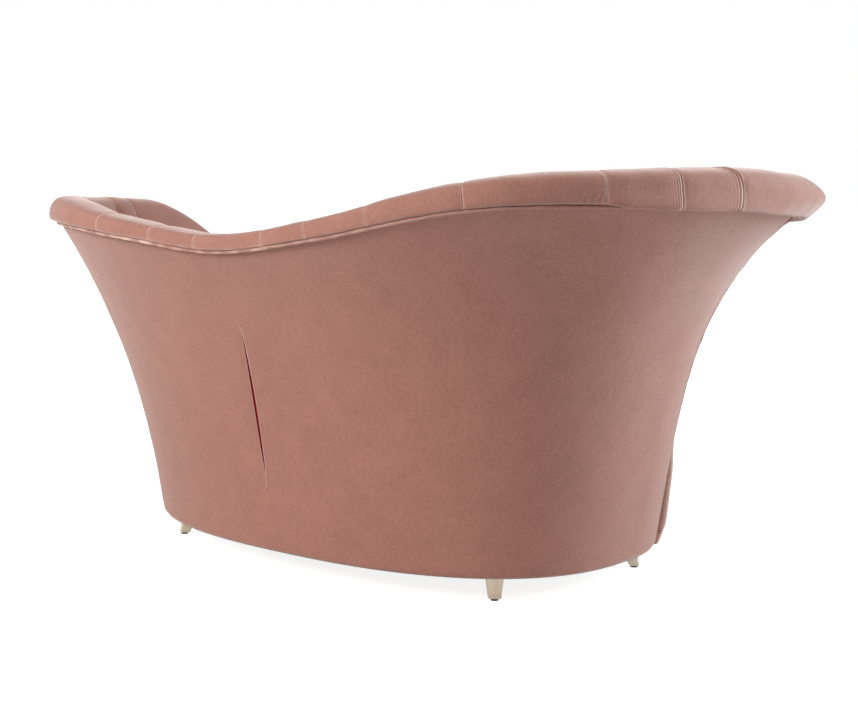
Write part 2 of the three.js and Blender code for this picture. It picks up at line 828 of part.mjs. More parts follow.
// An end channel: along the rim to the arm's front, then down its edge, its lines fanning out at the deck
function endChannelRings(seam, end) {
  const inward = end === 0 ? 1 : -1;
  const rimShares = channelColumns(Math.min(seam, end), Math.max(seam, end));
  if (end === 0) rimShares.reverse();
  const rimPart = Math.abs(rimLengthAt(end) - rimLengthAt(seam));
  const frontPart = rimZ(end) - deckHeight;
  const footEnd = end + inward * noseFootShare;
  const partAt = (length) => length / (rimPart + frontPart);
  const crownOf = (part) => crownAt(Math.min(part, 0.5));
  const rimRings = rimShares.map((share) => {
    const part = partAt(Math.abs(rimLengthAt(share) - rimLengthAt(seam)));
    return channelRing(rimStop(share, lerp(seam, footEnd, part)), crownOf(part));
  });
  const frontRings = spread(0, 1, noseSteps).slice(1).map((down) => {
    const part = partAt(rimPart + down * frontPart);
    return channelRing(frontStop(end, down, lerp(seam, footEnd, part)), crownOf(part));
  });
  return [...rimRings, ...frontRings];
}

// Columns of a channel; where the rim drops they are the stations of the layers behind it
function channelColumns(from, to) {
  const plain = from > headCornerShare && to < footCornerShare;
  if (plain) return spacedShares(from, to, channelColumnWidth, fewestColumns);
  return [from, ...backStations.filter((share) => share > from && share < to), to];
}

// Full in the middle of a channel and drawn in at its seams
function crownAt(share) {
  return Math.sqrt(Math.max(0, 1 - Math.abs(2 * share - 1) ** crownPower));
}

function channelRings(index) {
  const halfGap = seamHalfGap / backLength;
  const from = seamShares[index] + halfGap;
  const to = seamShares[index + 1] - halfGap;
  if (index === 0) return endChannelRings(to, 0);
  if (index === seamShares.length - 2) return endChannelRings(from, 1);
  return channelColumns(from, to).map((share) => (
    channelRing(rimStop(share, share), crownAt((share - from) / (to - from)))
  ));
}

function makeChannels() {
  seamShares.slice(1).forEach((_, index) => {
    addPiece(`channel_${String(index + 1).padStart(2, '0')}`, loft(channelRings(index)), velvetLight);
  });
}

function makeBackBurlap() {
  const stations = backStations.slice(1, -1);
  const sheet = backLayer(stations, deckHeight + seatGap, topRailDrop, burlapOuter, burlapInner, liningLevelCount);
  addPiece('back_burlap', sheet, jute);
}

// Front apron with its belly, and the band below its seam
function apronPanel(bottomZ, topZ, levels) {
  const heights = spread(bottomZ, topZ, levels);
  return loft(frontStations(apronEndGap).map((way) => {
    const outer = heights.map((z) => {
      const height = (z - floorClearance) / (deckHeight - floorClearance);
      return wallPoint(way, z, -bellyAt(height));
    });
    const inner = heights.map((z) => wallPoint(way, z, apronBacking));
    return [...outer, ...inner.reverse()];
  }));
}

function makeApron() {
  const seamZ = floorClearance + bandHeight;
  addPiece('apron_band', apronPanel(floorClearance, seamZ - seatGap, bandLevels), velvet);
  addPiece('front_apron', apronPanel(seamZ, deckHeight, apronLevels), velvet);
}

// Outline of the seat inside the back: along the channels, then forward and across the front
function seatOutline(z, gap) {
  const depthAt = (share) => innerThickness(share, z, 1) + gap;
  const forwardShare = (noseLength + 2 * seatPadGap) / backLength;
  const back = spread(-forwardShare, 1 + forwardShare, seatStations)
    .map((share) => backPoint(share, z, depthAt(clamp(share, 0, 1))));
  const front = spread(seatFrontStartShare, 1 - seatFrontStartShare, seatFrontStations)
    .map((share) => frontPoint(share, deckHeight, gap - seatOverhang).setZ(z));
  return [...back, ...front];
}

function drawnIn(outline, share) {
  const middle = outline.reduce((sum, point) => sum.add(point), new THREE.Vector3()).divideScalar(outline.length);
  return outline.map((point) => middle.clone().lerp(point, share));
}

function makeSeatDeck() {
  const bottom = deckHeight + seatGap + 2 * wireRadius + faceGap;
  const sheet = [bottom, bottom + deckSheetThickness].map((z) => seatOutline(z, 2 * seatPadGap));
  addPiece('deck_burlap', loft(sheet), jute);
}

function makeSeatPad() {
  const bottom = deckHeight + faceGap * 2 + 2 * wireRadius + deckSheetThickness + seatGap;
  const edge = seatHeight - seatEdgeRadius;
  const rings = [
    [bottom, seatEdgeRadius / 2], [bottom + seatEdgeRadius, 0], [edge - seatEdgeRadius, 0],
    [edge, seatEdgeRadius / 4], [seatHeight - seatEdgeRadius / 4, seatEdgeRadius],
  ].map(([z, inset]) => seatOutline(z, seatPadGap + inset));
  const rim = seatOutline(seatHeight, seatPadGap + 2 * seatEdgeRadius);
  seatCrownShares.forEach(([size, height]) => {
    rings.push(drawnIn(rim, size).map((point) => point.setZ(seatHeight + seatCrown * height)));
  });
  addPiece('seat_pad', loft(rings), velvetLight);
}

function makeDustCover() {
  const ways = [...backStations.slice(0, -1), ...frontStations(0).slice(0, -1)];
  const top = ringUnderside - seatGap;
  const inset = legTopInset + legTopDepth / 2 + dustGap;
  const sheet = [top - dustThickness, top].map((z) => ways.map((way) => wallPoint(way, ringUnderside, inset).setZ(z)));
  addPiece('dust_cover', loft(sheet), dustCloth);
}

makeBaseRings();
makeLegs();
makeRibs();
makeTopRail();
makeSpringRails();
makeStretchers();
makeFrontStuds();
makeSprings();
makeBackBurlap();
makeSeatDeck();
makeSeatPad();
makeOutsideBack();
makeSlitLining();
makeWelt();
makeChannels();
makeApron();
makeDustCover();

// The couch stands centred over its own frame's origin
const extent = new THREE.Box3().setFromObject(couch, true);
const centre = extent.getCenter(new THREE.Vector3());
couch.children.forEach((mesh) => mesh.position.set(-centre.x, -centre.y, 0));

export default couch;
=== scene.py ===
# Fainting couch seen from behind: flared velvet back, channelled inside back rolled over the rim
import math

import bmesh
import bpy
import numpy as np
from mathutils import Matrix, Vector


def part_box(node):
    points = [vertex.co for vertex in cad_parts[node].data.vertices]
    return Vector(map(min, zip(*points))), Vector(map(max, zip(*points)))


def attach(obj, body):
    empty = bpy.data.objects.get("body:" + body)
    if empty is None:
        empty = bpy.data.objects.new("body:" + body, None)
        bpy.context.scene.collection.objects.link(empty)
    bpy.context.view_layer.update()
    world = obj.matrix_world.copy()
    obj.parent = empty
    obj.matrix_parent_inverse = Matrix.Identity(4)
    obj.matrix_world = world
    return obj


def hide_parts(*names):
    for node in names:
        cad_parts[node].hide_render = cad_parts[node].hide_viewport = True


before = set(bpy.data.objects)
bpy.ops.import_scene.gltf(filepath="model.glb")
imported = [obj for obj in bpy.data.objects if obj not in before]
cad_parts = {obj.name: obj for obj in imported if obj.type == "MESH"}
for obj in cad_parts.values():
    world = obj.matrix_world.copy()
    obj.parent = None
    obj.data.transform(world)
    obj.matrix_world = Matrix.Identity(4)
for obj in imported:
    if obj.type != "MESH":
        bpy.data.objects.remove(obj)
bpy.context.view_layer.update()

scene = bpy.context.scene


# Small sums that the shapes share

def normalised(vectors):
    return vectors / np.linalg.norm(vectors, axis=-1, keepdims=True)


def lengthsAlong(points):
    return np.concatenate([[0], np.cumsum(np.linalg.norm(np.diff(points, axis=0), axis=1))])


def readAlong(wanted, places, values):
    return np.stack([np.interp(wanted, places, values[:, i]) for i in range(values.shape[1])], -1)


def blend(first, last, part):
    return first + (last - first) * part


def within(value):
    return np.clip(value, 0, 1)


def eased(value):
    part = within(value)
    return part * part * (3 - 2 * part)


def fading(distance, reach):
    return np.exp(-distance / reach)


def bell(distance, width):
    return np.exp(-(distance / width) ** 2)


def hermite(first, last, start, end, w):
    cubic = (2 * first - 2 * last + start + end) * w**3
    return cubic + (3 * last - 3 * first - 2 * start - end) * w**2 + start * w + first


def deepen(vectors):
    # From vectors in plan to level ones in space
    return np.concatenate([vectors, np.zeros(vectors.shape[:-1] + (1,))], -1)


def easedHeights(shares, size):
    # A smooth line through evenly spaced heights
    knots = np.array(shares) * size
    last = len(knots) - 1

    def at(share):
        place = within(share) * last
        step = np.minimum(place.astype(int), last - 1)
        before, first = knots[np.maximum(step - 1, 0)], knots[step]
        second, after = knots[step + 1], knots[np.minimum(step + 2, last)]
        return hermite(first, second, (second - before) / 2, (after - first) / 2, place - step)
    return at


def grain(points, size, seed=0.0):
    # A slow, smooth unevenness in space
    a, b, c = (points[..., i] / size for i in range(3))
    value = np.sin(a * 1.7 + 2.1 * np.sin(b * 1.3 + seed) + seed)
    value = value + np.sin(b * 2.3 + 1.7 * np.sin(c * 1.9 - seed))
    return (value + np.sin(c * 1.5 + 2.4 * np.sin(a * 1.1 + 2 * seed) + 1.3)) / 3


def unevenness(points, waves):
    return sum(height * grain(points, size, seed) for height, size, seed in waves)


# Shape of the wrapped back, in metres: plan of the base, flare above it and height of the rim
back = dict(
    centre=(0.054368, -0.145256),
    clearance=0.059, halfLength=0.674, halfDepth=0.428, squareness=2.43, skew=0.02,
    headWrap=0.41, footWrap=0.28, turnSteps=4001, evenSteps=2001,
    rise=0.84, flare=(0.376, 0.308, 0.325), lean=(0.13, 0.118), power=(4.33, 2.18),
    rim=0.905, rimStep=0.015, rimHeights=(0.937, 0.979, 0.996, 0.914, 0.862, 0.88, 0.892, 0.864, 0.836),
    headDrop=(0.07, 0.03, -0.0015), footDrop=(0.25, 0.915, 1.003),
    deck=0.3303, thickBelow=0.118, thickAbove=0.092, burlapBelow=0.0575, burlapAbove=0.0475,
)


def baseOutline():
    # Squared-off oval of the base, read off evenly from the head end round to the foot end
    turn = np.linspace(0, 1, back["turnSteps"])
    angle = turn * (math.pi + back["headWrap"] + back["footWrap"]) - back["headWrap"]
    bend = 2 / back["squareness"]
    x = -back["halfLength"] * np.sign(np.cos(angle)) * np.abs(np.cos(angle)) ** bend
    y = back["halfDepth"] * np.sign(np.sin(angle)) * np.abs(np.sin(angle)) ** bend
    y *= 1 - back["skew"] * x / back["halfLength"]
    points = np.stack([x, y], -1)
    lengths = lengthsAlong(points)
    even = np.linspace(0, 1, back["evenSteps"])
    points = readAlong(even, lengths / lengths[-1], points)
    return even, points, np.gradient(points, even, axis=0), lengths[-1]


outlineShare, outlinePoints, outlineSlope, backLength = baseOutline()
rimLine = easedHeights(back["rimHeights"], back["rim"])


def planAt(share):
    # Point, direction and outward direction on the base's outline, which runs on straight past its ends
    inside = within(share)
    tangent = normalised(readAlong(inside, outlineShare, outlineSlope))
    point = readAlong(inside, outlineShare, outlinePoints) + np.array(back["centre"])
    point = point + tangent * ((share - inside) * backLength)[..., None]
    return point, tangent, np.stack([-tangent[..., 1], tangent[..., 0]], -1)


def flareAt(share, z):
    # How far the back leans out at a height, and its slope there
    inside = within(share)
    turn = (1 - np.cos(np.pi * inside)) / 2
    head, middle, foot = back["flare"]
    full = head * (1 - inside) * (1 - 2 * inside) + middle * 4 * inside * (1 - inside)
    full = full + foot * inside * (2 * inside - 1)
    lean, power = blend(*back["lean"], turn), blend(*back["power"], turn)
    up = np.maximum(1e-6, (z - back["clearance"]) / back["rise"])
    out = (full - lean) * up**power + lean * up
    return out, ((full - lean) * power * up ** (power - 1) + lean) / back["rise"]


def cornerDrop(share, drop, start, end):
    turn = within((share - start) / (end - start))
    return drop * (1 - np.sqrt(1 - turn**2))


def rimZ(share):
    return rimLine(share) - cornerDrop(share, *back["headDrop"]) - cornerDrop(share, *back["footDrop"])


def backPoint(share, z, depth=0.0):
    share, z, depth = np.broadcast_arrays(np.asarray(share, float), z, depth)
    point, _, outward = planAt(share)
    out, slope = flareAt(share, z)
    plan = point + outward * (out - depth * np.hypot(1, slope))[..., None]
    return np.concatenate([plan, z[..., None]], -1)


def rimFrame(share):
    # Point on the rim, with the directions outwards and up from it
    step = back["rimStep"] / backLength
    before, after = within(share - step), within(share + step)
    tangent = backPoint(after, rimZ(after)) - backPoint(before, rimZ(before))
    outward = deepen(planAt(share)[2])
    return backPoint(share, rimZ(share)), outward, normalised(np.cross(tangent, outward))


def layerDepth(share, z, below, above):
    return blend(below, above, within((z - back["deck"]) / (rimZ(share) - back["deck"])))


# Helpers for meshes that start as a grid and are shaped over the couch

def shapedGrid(columns, rows, shape, joined=False, capped=False):
    mesh = bmesh.new()
    bmesh.ops.create_grid(mesh, x_segments=columns, y_segments=rows, size=0.5)
    corners = np.array([(v.co.x + 0.5, v.co.y + 0.5) for v in mesh.verts])
    spots, chart, *wornAndSheened = shape(corners[:, 0], corners[:, 1])
    # Each vertex's pale share: painted sheen and highlights, partly wear
    wearAndSheen = mesh.verts.layers.float.new("wearAndSheen")
    for vert, spot in zip(mesh.verts, spots):
        vert.co = spot
        vert[wearAndSheen] = wornAndSheened[0][vert.index] if wornAndSheened else 0.0
    layer = mesh.loops.layers.uv.new("weave")
    for face in mesh.faces:
        for loop in face.loops:
            loop[layer].uv = chart[loop.vert.index]
    if joined:
        bmesh.ops.remove_doubles(mesh, verts=mesh.verts[:], dist=2e-6)
    if capped:
        rim = [edge for edge in mesh.edges if edge.is_boundary]
        ends = bmesh.ops.holes_fill(mesh, edges=rim, sides=0)["faces"]
        for face in bmesh.ops.triangulate(mesh, faces=ends)["faces"]:
            for loop in face.loops:
                beside = [other for other in loop.vert.link_loops if other.face not in ends]
                loop[layer].uv = beside[0][layer].uv
    bmesh.ops.recalc_face_normals(mesh, faces=mesh.faces[:])
    return mesh


def newObject(name, data):
    made = bpy.data.objects.new(name, data)
    scene.collection.objects.link(made)
    return made


def finishPiece(name, mesh, look):
    data = bpy.data.meshes.new(name)
    mesh.to_mesh(data)
    mesh.free()
    data.polygons.foreach_set("use_smooth", [True] * len(data.polygons))
    data.materials.append(look)
    piece = newObject(name, data)
    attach(piece, "root")
    return piece


def soften(piece, levels):
    modifier = piece.modifiers.new("soften", "SUBSURF")
    modifier.levels = modifier.render_levels = levels


def thicken(piece, thickness, offset=-1.0):
    modifier = piece.modifiers.new("thickness", "SOLIDIFY")
    modifier.thickness = thickness
    modifier.offset = offset
    modifier.use_even_offset = False
    return modifier


# Camera at the photograph's place
view = dict(
    fromCentre=(-3.1295, 3.586), height=1.1351, forward=(0.6392, -0.7562, -0.1399),
    up=(0.0903, -0.1068, 0.9902), focal=1941.3, width=858, sensor=36, farthest=60,
)


def makeCamera():
    data = bpy.data.cameras.new("studioCamera")
    camera = newObject("studioCamera", data)
    forward, up = Vector(view["forward"]).normalized(), Vector(view["up"])
    right = forward.cross(up).normalized()
    turn = Matrix((right, right.cross(forward), -forward)).transposed().to_4x4()
    aside, ahead = view["fromCentre"]
    place = (aside + back["centre"][0], ahead + back["centre"][1], view["height"])
    camera.matrix_world = Matrix.Translation(place) @ turn
    data.sensor_width = view["sensor"]
    data.lens = view["focal"] / view["width"] * view["sensor"]
    data.clip_end = view["farthest"]
    scene.camera = camera


# Shader groups and materials

def newGroup(name, inputs, outputs):
    tree = bpy.data.node_groups.new(name, "ShaderNodeTree")
    for label, kind, value in inputs:
        socket = tree.interface.new_socket(label, in_out="INPUT", socket_type=kind)
        if value is not None:
            socket.default_value = value
    for label, kind in outputs:
        tree.interface.new_socket(label, in_out="OUTPUT", socket_type=kind)
    return tree, tree.nodes.new("NodeGroupInput"), tree.nodes.new("NodeGroupOutput")


def plugInto(tree, node, values):
    # A constant stands on an input, an output is linked to it
    for label, value in values.items():
        if isinstance(value, (int, float, tuple)):
            node.inputs[label].default_value = value
        elif value is not None:
            tree.links.new(value, node.inputs[label])


def addNode(tree, kind, settings=(), **values):
    node = tree.nodes.new(kind)
    for key, value in dict(settings).items():
        setattr(node, key, value)
    plugInto(tree, node, values)
    return node


def mathNode(tree, operation, first, second=None, clampIt=False):
    node = addNode(tree, "ShaderNodeMath", dict(operation=operation, use_clamp=clampIt))
    plugInto(tree, node, {0: first, 1: second})
    return node.outputs[0]


def weighted(tree, sockets, weights):
    terms = [mathNode(tree, "MULTIPLY", socket, weight) for socket, weight in zip(sockets, weights)]
    total = terms[0]
    for term in terms[1:]:
        total = mathNode(tree, "ADD", total, term)
    return total


def levelled(tree, socket, factor, base):
    return mathNode(tree, "ADD", mathNode(tree, "MULTIPLY", socket, factor), base)


def noiseNode(tree, vector, scale, detail, roughness, stretch=None):
    if stretch:
        vector = addNode(tree, "ShaderNodeMapping", Vector=vector, Scale=stretch).outputs["Vector"]
    sizes = dict(Scale=scale, Detail=detail, Roughness=roughness)
    return addNode(tree, "ShaderNodeTexNoise", Vector=vector, **sizes).outputs["Fac"]


def mixColour(tree, factor, first, second):
    node = addNode(tree, "ShaderNodeMix", {"data_type": "RGBA"})
    plugInto(tree, node, {0: factor, 6: first, 7: second})
    return node.outputs[2]


def bumpNode(tree, height, strength, distance):
    node = addNode(tree, "ShaderNodeBump", Height=height, Strength=strength, Distance=distance)
    return node.outputs["Normal"]


def colour(red, green, blue):
    # From the 0 to 255 values of a picture to the shader's own
    values = [c / 255 for c in (red, green, blue)]
    return tuple(c / 12.92 if c <= 0.04045 else ((c + 0.055) / 1.055) ** 2.4 for c in values) + (1.0,)


# Nap of a pile cloth: sizes are scale, detail and roughness of each noise, and its stretch where it has one
nap = dict(
    broad=(3.2, 3, 0.55), clouds=(17, 4, 0.6), patches=(85, 3, 0.6), cloudWeights=(0.3, 0.42, 0.28),
    threads=(1, 3, 0.65, (170, 80, 80)), weft=(1, 2, 0.6, (120, 290, 120)), grains=(350, 3, 0.75),
    lineWeights=(0.27, 0.2, 0.53), ragged=0.45, roughness=(-0.16, 0.88), heightWeights=(0.5, 0.5), bump=0.0012,
)


def makeNapGroup():
    # Clouds where the pile was stroked, faint thread lines and a fine bump
    tree, start, end = newGroup(
        "clothNap",
        [("Chart", "NodeSocketVector", None), ("Place", "NodeSocketVector", None),
         ("Deep", "NodeSocketColor", (0.3, 0.13, 0.1, 1)), ("Light", "NodeSocketColor", (0.6, 0.3, 0.25, 1)),
         ("Pale", "NodeSocketColor", (0.75, 0.5, 0.42, 1)), ("Worn", "NodeSocketFloat", 0.0),
         ("Clouds", "NodeSocketFloat", 0.5), ("Threads", "NodeSocketFloat", 0.5),
         ("Bump", "NodeSocketFloat", 0.3)],
        [("Color", "NodeSocketColor"), ("Roughness", "NodeSocketFloat"), ("Normal", "NodeSocketVector")],
    )
    chart, place = start.outputs["Chart"], start.outputs["Place"]
    broad, clouds, patches = (noiseNode(tree, place, *nap[name]) for name in ("broad", "clouds", "patches"))
    threads, weft, grains = (noiseNode(tree, chart, *nap[name]) for name in ("threads", "weft", "grains"))
    cloudy = weighted(tree, (broad, clouds, patches), nap["cloudWeights"])
    lines = weighted(tree, (threads, weft, grains), nap["lineWeights"])
    cloudPart = mathNode(tree, "MULTIPLY", mathNode(tree, "SUBTRACT", cloudy, 0.5), start.outputs["Clouds"])
    linePart = mathNode(tree, "MULTIPLY", mathNode(tree, "SUBTRACT", lines, 0.5), start.outputs["Threads"])
    share = mathNode(tree, "ADD", mathNode(tree, "ADD", cloudPart, linePart), 0.5, True)
    stroked = mixColour(tree, share, start.outputs["Deep"], start.outputs["Light"])
    # Pale is mixed in where the wear-and-sheen attribute is raised: painted sheen and highlights, partly wear
    ragged = mathNode(tree, "ADD", grains, nap["ragged"])
    ragged = mathNode(tree, "MULTIPLY", start.outputs["Worn"], ragged, True)
    height = weighted(tree, (grains, threads), nap["heightWeights"])
    plugInto(tree, end, {
        "Color": mixColour(tree, ragged, stroked, start.outputs["Pale"]),
        "Roughness": levelled(tree, clouds, *nap["roughness"]),
        "Normal": bumpNode(tree, height, start.outputs["Bump"], nap["bump"]),
    })
    return tree


napGroup = makeNapGroup()


def newMaterial(name):
    material = bpy.data.materials.new(name)
    material.use_nodes = True
    tree = material.node_tree
    return material, tree, addNode(tree, "ShaderNodeTexCoord").outputs["Object"]


def finishMaterial(material, values):
    plugInto(material.node_tree, material.node_tree.nodes["Principled BSDF"], values)
    return material


# pale is the colour painted for sheen and highlights, partly wear
velvet = dict(
    deep=(120, 80, 70), light=(186, 130, 115), pale=(226, 192, 178), clouds=0.66, threads=1.6, bump=0.55,
    sheen=0.66, sheenRoughness=0.44, sheenTint=(248, 234, 230), specular=0.25,
)


def makeVelvet(name, charted=True, **changes):
    # A piece without a chart of its own takes the weave from its place
    look = dict(velvet, **changes)
    material, tree, spot = newMaterial(name)
    chart = addNode(tree, "ShaderNodeUVMap", {"uv_map": "weave"}).outputs["UV"] if charted else spot
    wornAndSheened = addNode(tree, "ShaderNodeAttribute", {"attribute_name": "wearAndSheen"}).outputs["Fac"]
    values = {label: colour(*look[label.lower()]) for label in ("Deep", "Light", "Pale")}
    values.update({label: look[label.lower()] for label in ("Clouds", "Threads", "Bump")})
    values.update(Chart=chart, Place=spot, Worn=wornAndSheened)
    group = addNode(tree, "ShaderNodeGroup", {"node_tree": napGroup}, **values)
    return finishMaterial(material, {
        "Base Color": group.outputs["Color"], "Roughness": group.outputs["Roughness"],
        "Normal": group.outputs["Normal"], "Sheen Weight": look["sheen"],
        "Sheen Roughness": look["sheenRoughness"], "Sheen Tint": colour(*look["sheenTint"]),
        "Specular IOR Level": look["specular"],
    })


outsideVelvet = makeVelvet("outsideVelvet")
channelVelvet = makeVelvet("channelVelvet", deep=(122, 83, 73), light=(188, 134, 119))
pipingVelvet = makeVelvet("pipingVelvet", deep=(128, 88, 78), light=(190, 140, 126))
redCloth = makeVelvet(
    "redCloth", deep=(106, 5, 20), light=(156, 14, 32), sheen=0.1, sheenTint=(255, 120, 120), clouds=0.7,
)
seatVelvet = makeVelvet("seatVelvet", charted=False)
dustCloth = makeVelvet(
    "dustCloth", charted=False, deep=(20, 19, 18), light=(44, 42, 40), sheen=0.1, sheenTint=(200, 200, 200),
)
juteCloth = makeVelvet(
    "juteCloth", charted=False, deep=(120, 98, 66), light=(180, 156, 114), bump=0.8, sheen=0.1,
)

wood = dict(
    rings=(1.0, 4, 0.6), pores=(1.0, 2, 0.6, (14, 240, 240)), grained=(2.2, 30, 30), layered=(3, 3, 160),
    weights=(0.75, 0.25), roughness=(0.2, 0.55), bump=(0.25, 0.0008),
)


def makeWood(name, dark, pale, stretch):
    material, tree, spot = newMaterial(name)
    rings = noiseNode(tree, spot, *wood["rings"], stretch)
    pores = noiseNode(tree, spot, *wood["pores"])
    share = weighted(tree, (rings, pores), wood["weights"])
    return finishMaterial(material, {
        "Base Color": mixColour(tree, share, colour(*dark), colour(*pale)),
        "Roughness": levelled(tree, pores, *wood["roughness"]), "Normal": bumpNode(tree, pores, *wood["bump"]),
    })


hardwood = makeWood("hardwood", (134, 94, 56), (196, 156, 108), wood["grained"])
plywood = makeWood("plywood", (150, 116, 74), (214, 184, 138), wood["layered"])

# Champagne leaf: warm silver squares laid over each other, rubbed a little at random
leaf = dict(
    squares=(1, 4, 0.6, (60, 60, 22)), rubbed=(260, 3, 0.6), dark=(150, 134, 116), pale=(206, 192, 174),
    ground=(170, 146, 112), rubbedFrom=0.58, rubbedBy=3.0, roughness=(0.22, 0.26), metallic=0.72,
    bump=(0.25, 0.0006),
)


def makeSilverLeaf():
    material, tree, spot = newMaterial("silverLeaf")
    squares, rubbed = noiseNode(tree, spot, *leaf["squares"]), noiseNode(tree, spot, *leaf["rubbed"])
    warm = mixColour(tree, squares, colour(*leaf["dark"]), colour(*leaf["pale"]))
    share = mathNode(tree, "SUBTRACT", rubbed, leaf["rubbedFrom"])
    share = mathNode(tree, "MULTIPLY", share, leaf["rubbedBy"], True)
    return finishMaterial(material, {
        "Base Color": mixColour(tree, share, warm, colour(*leaf["ground"])), "Metallic": leaf["metallic"],
        "Roughness": levelled(tree, squares, *leaf["roughness"]),
        "Normal": bumpNode(tree, rubbed, *leaf["bump"]),
    })


speckle = dict(detail=3, roughness=0.6, varied=0.2, bump=(0.15, 0.0005))


def makeSpeckled(name, dark, pale, rough, metallic, scale):
    material, tree, spot = newMaterial(name)
    specks = noiseNode(tree, spot, scale, speckle["detail"], speckle["roughness"])
    return finishMaterial(material, {
        "Base Color": mixColour(tree, specks, colour(*dark), colour(*pale)), "Metallic": metallic,
        "Roughness": levelled(tree, specks, speckle["varied"], rough),
        "Normal": bumpNode(tree, specks, *speckle["bump"]),
    })


silverLeaf = makeSilverLeaf()
glidePlastic = makeSpeckled("glidePlastic", (34, 32, 30), (58, 55, 52), 0.45, 0.0, 300)
springSteel = makeSpeckled("springSteel", (110, 112, 116), (170, 172, 176), 0.25, 0.9, 120)
threadCloth = makeSpeckled("threadCloth", (196, 160, 146), (226, 196, 184), 0.7, 0.0, 900)


# Outside back: one taut panel with an open pleat in it
panel = dict(
    thickness=0.007, columns=190, rows=128, middle=0.516, columnCrowding=1.6, rowCrowding=1.15, pull=0.05,
    lineLimits=(0.18, 0.66), waves=((0.0011, 0.17, 1.0), (0.0005, 0.055, 2.0)), fade=0.03, calm=0.02,
    tuck=0.004, hem=0.008, merged=0.00012, thinnest=0.15, thinTo=0.0015, thickening=0.0105,
)
slit = dict(
    top=0.597, bottom=0.249, topShare=0.511, bottomShare=0.521, bow=0.006, width=0.0108, fade=0.008,
    roundness=(0.85, 0.8), shiftReach=0.016, lipReach=0.01, lipLifts=(0.0015, -0.0006), highlightWidth=0.0018,
    lipHighlight=(0.7, 0.15),
)


def slitPart(z):
    return (z - slit["bottom"]) / (slit["top"] - slit["bottom"])


def slitShare(z):
    part = slitPart(z)
    bow = slit["bow"] / backLength * 4 * within(part * (1 - part))
    return blend(slit["bottomShare"], slit["topShare"], part) + bow


def slitOpening(z):
    inner, outer = slit["roundness"]
    return np.sin(np.pi * within(slitPart(z)) ** inner) ** outer


def slitFade(z):
    low, high, fade = slit["bottom"], slit["top"], slit["fade"]
    return within((z - low + fade) / (2 * fade)) * within((high + fade - z) / (2 * fade))


def panelHalf(number):
    # The half at the head is number 0, the one at the foot number 1
    sign, middle, crowding = (-1, 1)[number], panel["middle"], panel["columnCrowding"]

    def shape(u, v):
        # Rows lie closer near the rim, and columns closer beside the pleat
        near = u**crowding if number else 1 - (1 - u) ** crowding
        start = middle + near * (1 - middle) if number else near * middle
        low, high = back["clearance"], rimZ(start)
        z = blend(low, high, 1 - (1 - v) ** panel["rowCrowding"])
        line = slitShare(np.clip(z, *panel["lineLimits"]))
        share = start + (line - middle) * bell(start - middle, panel["pull"])
        _, tangent, outward = planAt(share)
        base = backPoint(share, z)
        distance = np.abs(share - line) * backLength
        inSlit = (z > slit["bottom"]) & (z < slit["top"])
        opening = np.where(inSlit, slitOpening(z), 0)
        shift = slit["width"] / 2 * opening * fading(distance, slit["shiftReach"]) * sign
        lift = opening * fading(distance, slit["lipReach"]) * slit["lipLifts"][number]
        soft = unevenness(base, panel["waves"]) * within((high - z) / panel["fade"])
        soft = soft * within((z - low) / panel["fade"]) * within(distance / panel["calm"])
        hem = -panel["tuck"] * (1 - within((z - low) / panel["hem"])) ** 2
        spots = base + deepen(outward * (lift + soft + hem)[:, None] + tangent * shift[:, None])
        # Painted highlight: the head-side lip is painted pale where it catches the light, the foot-side lip
        # only a little
        lip = bell(distance, slit["highlightWidth"]) * inSlit * slit["lipHighlight"][number]
        return spots, np.stack([share * backLength, z], -1), lip
    return shape


def makeOutsideBack():
    left, right = (shapedGrid(panel["columns"], panel["rows"], panelHalf(number)) for number in (0, 1))
    data = bpy.data.meshes.new("half")
    right.to_mesh(data)
    left.from_mesh(data)
    right.free()
    bpy.data.meshes.remove(data)
    bmesh.ops.remove_doubles(left, verts=left.verts[:], dist=panel["merged"])
    bmesh.ops.recalc_face_normals(left, faces=left.faces[:])
    piece = finishPiece("outsideBack", left, outsideVelvet)
    if piece.data.polygons[0].normal.x > 0:
        piece.data.flip_normals()
    # The wadding runs out beside the pleat, so that its lips are thin
    wadding = piece.vertex_groups.new(name="wadding")
    charts = np.zeros((len(piece.data.vertices), 2))
    for loop, chart in zip(piece.data.loops, piece.data.uv_layers["weave"].data):
        charts[loop.vertex_index] = chart.uv
    beside = np.abs(charts[:, 0] - slitShare(charts[:, 1]) * backLength)
    full = blend(panel["thinnest"], 1, within((beside - panel["thinTo"]) / panel["thickening"]))
    full = 1 - (1 - full) * slitFade(charts[:, 1])
    for i, weight in enumerate(full):
        wadding.add([i], float(weight), "REPLACE")
    thicken(piece, panel["thickness"]).vertex_group = "wadding"
    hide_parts("outside_back")


# Red lining behind the pleat, raised in a ridge between its lips
lining = dict(margin=0.018, depth=0.008, ridge=0.006, ridgeWidth=0.008, thickness=0.0012, grid=(40, 110))


def makeSlitLining():
    margin = lining["margin"]
    height = slit["top"] - slit["bottom"] + 2 * margin

    def shape(u, v):
        z = slit["bottom"] - margin + height * v
        beside = (u - 0.5) * 2 * margin
        share = slitShare(z) + beside / backLength
        raised = lining["ridge"] * bell(beside, lining["ridgeWidth"]) * slitFade(z)
        return backPoint(share, z, lining["depth"] - raised), np.stack([share * backLength, z], -1)

    mesh = shapedGrid(*lining["grid"], shape)
    piece = finishPiece("slitLining", mesh, redCloth)
    thicken(piece, lining["thickness"])
    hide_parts("slit_lining")


# Pale bar tacks that close the two ends of the pleat
stitches = dict(
    runs=((0.622, 0.594), (0.252, 0.214)), pitch=0.0034, proud=0.0005, slant=0.0011, short=0.6,
    thickness=0.0014,
)


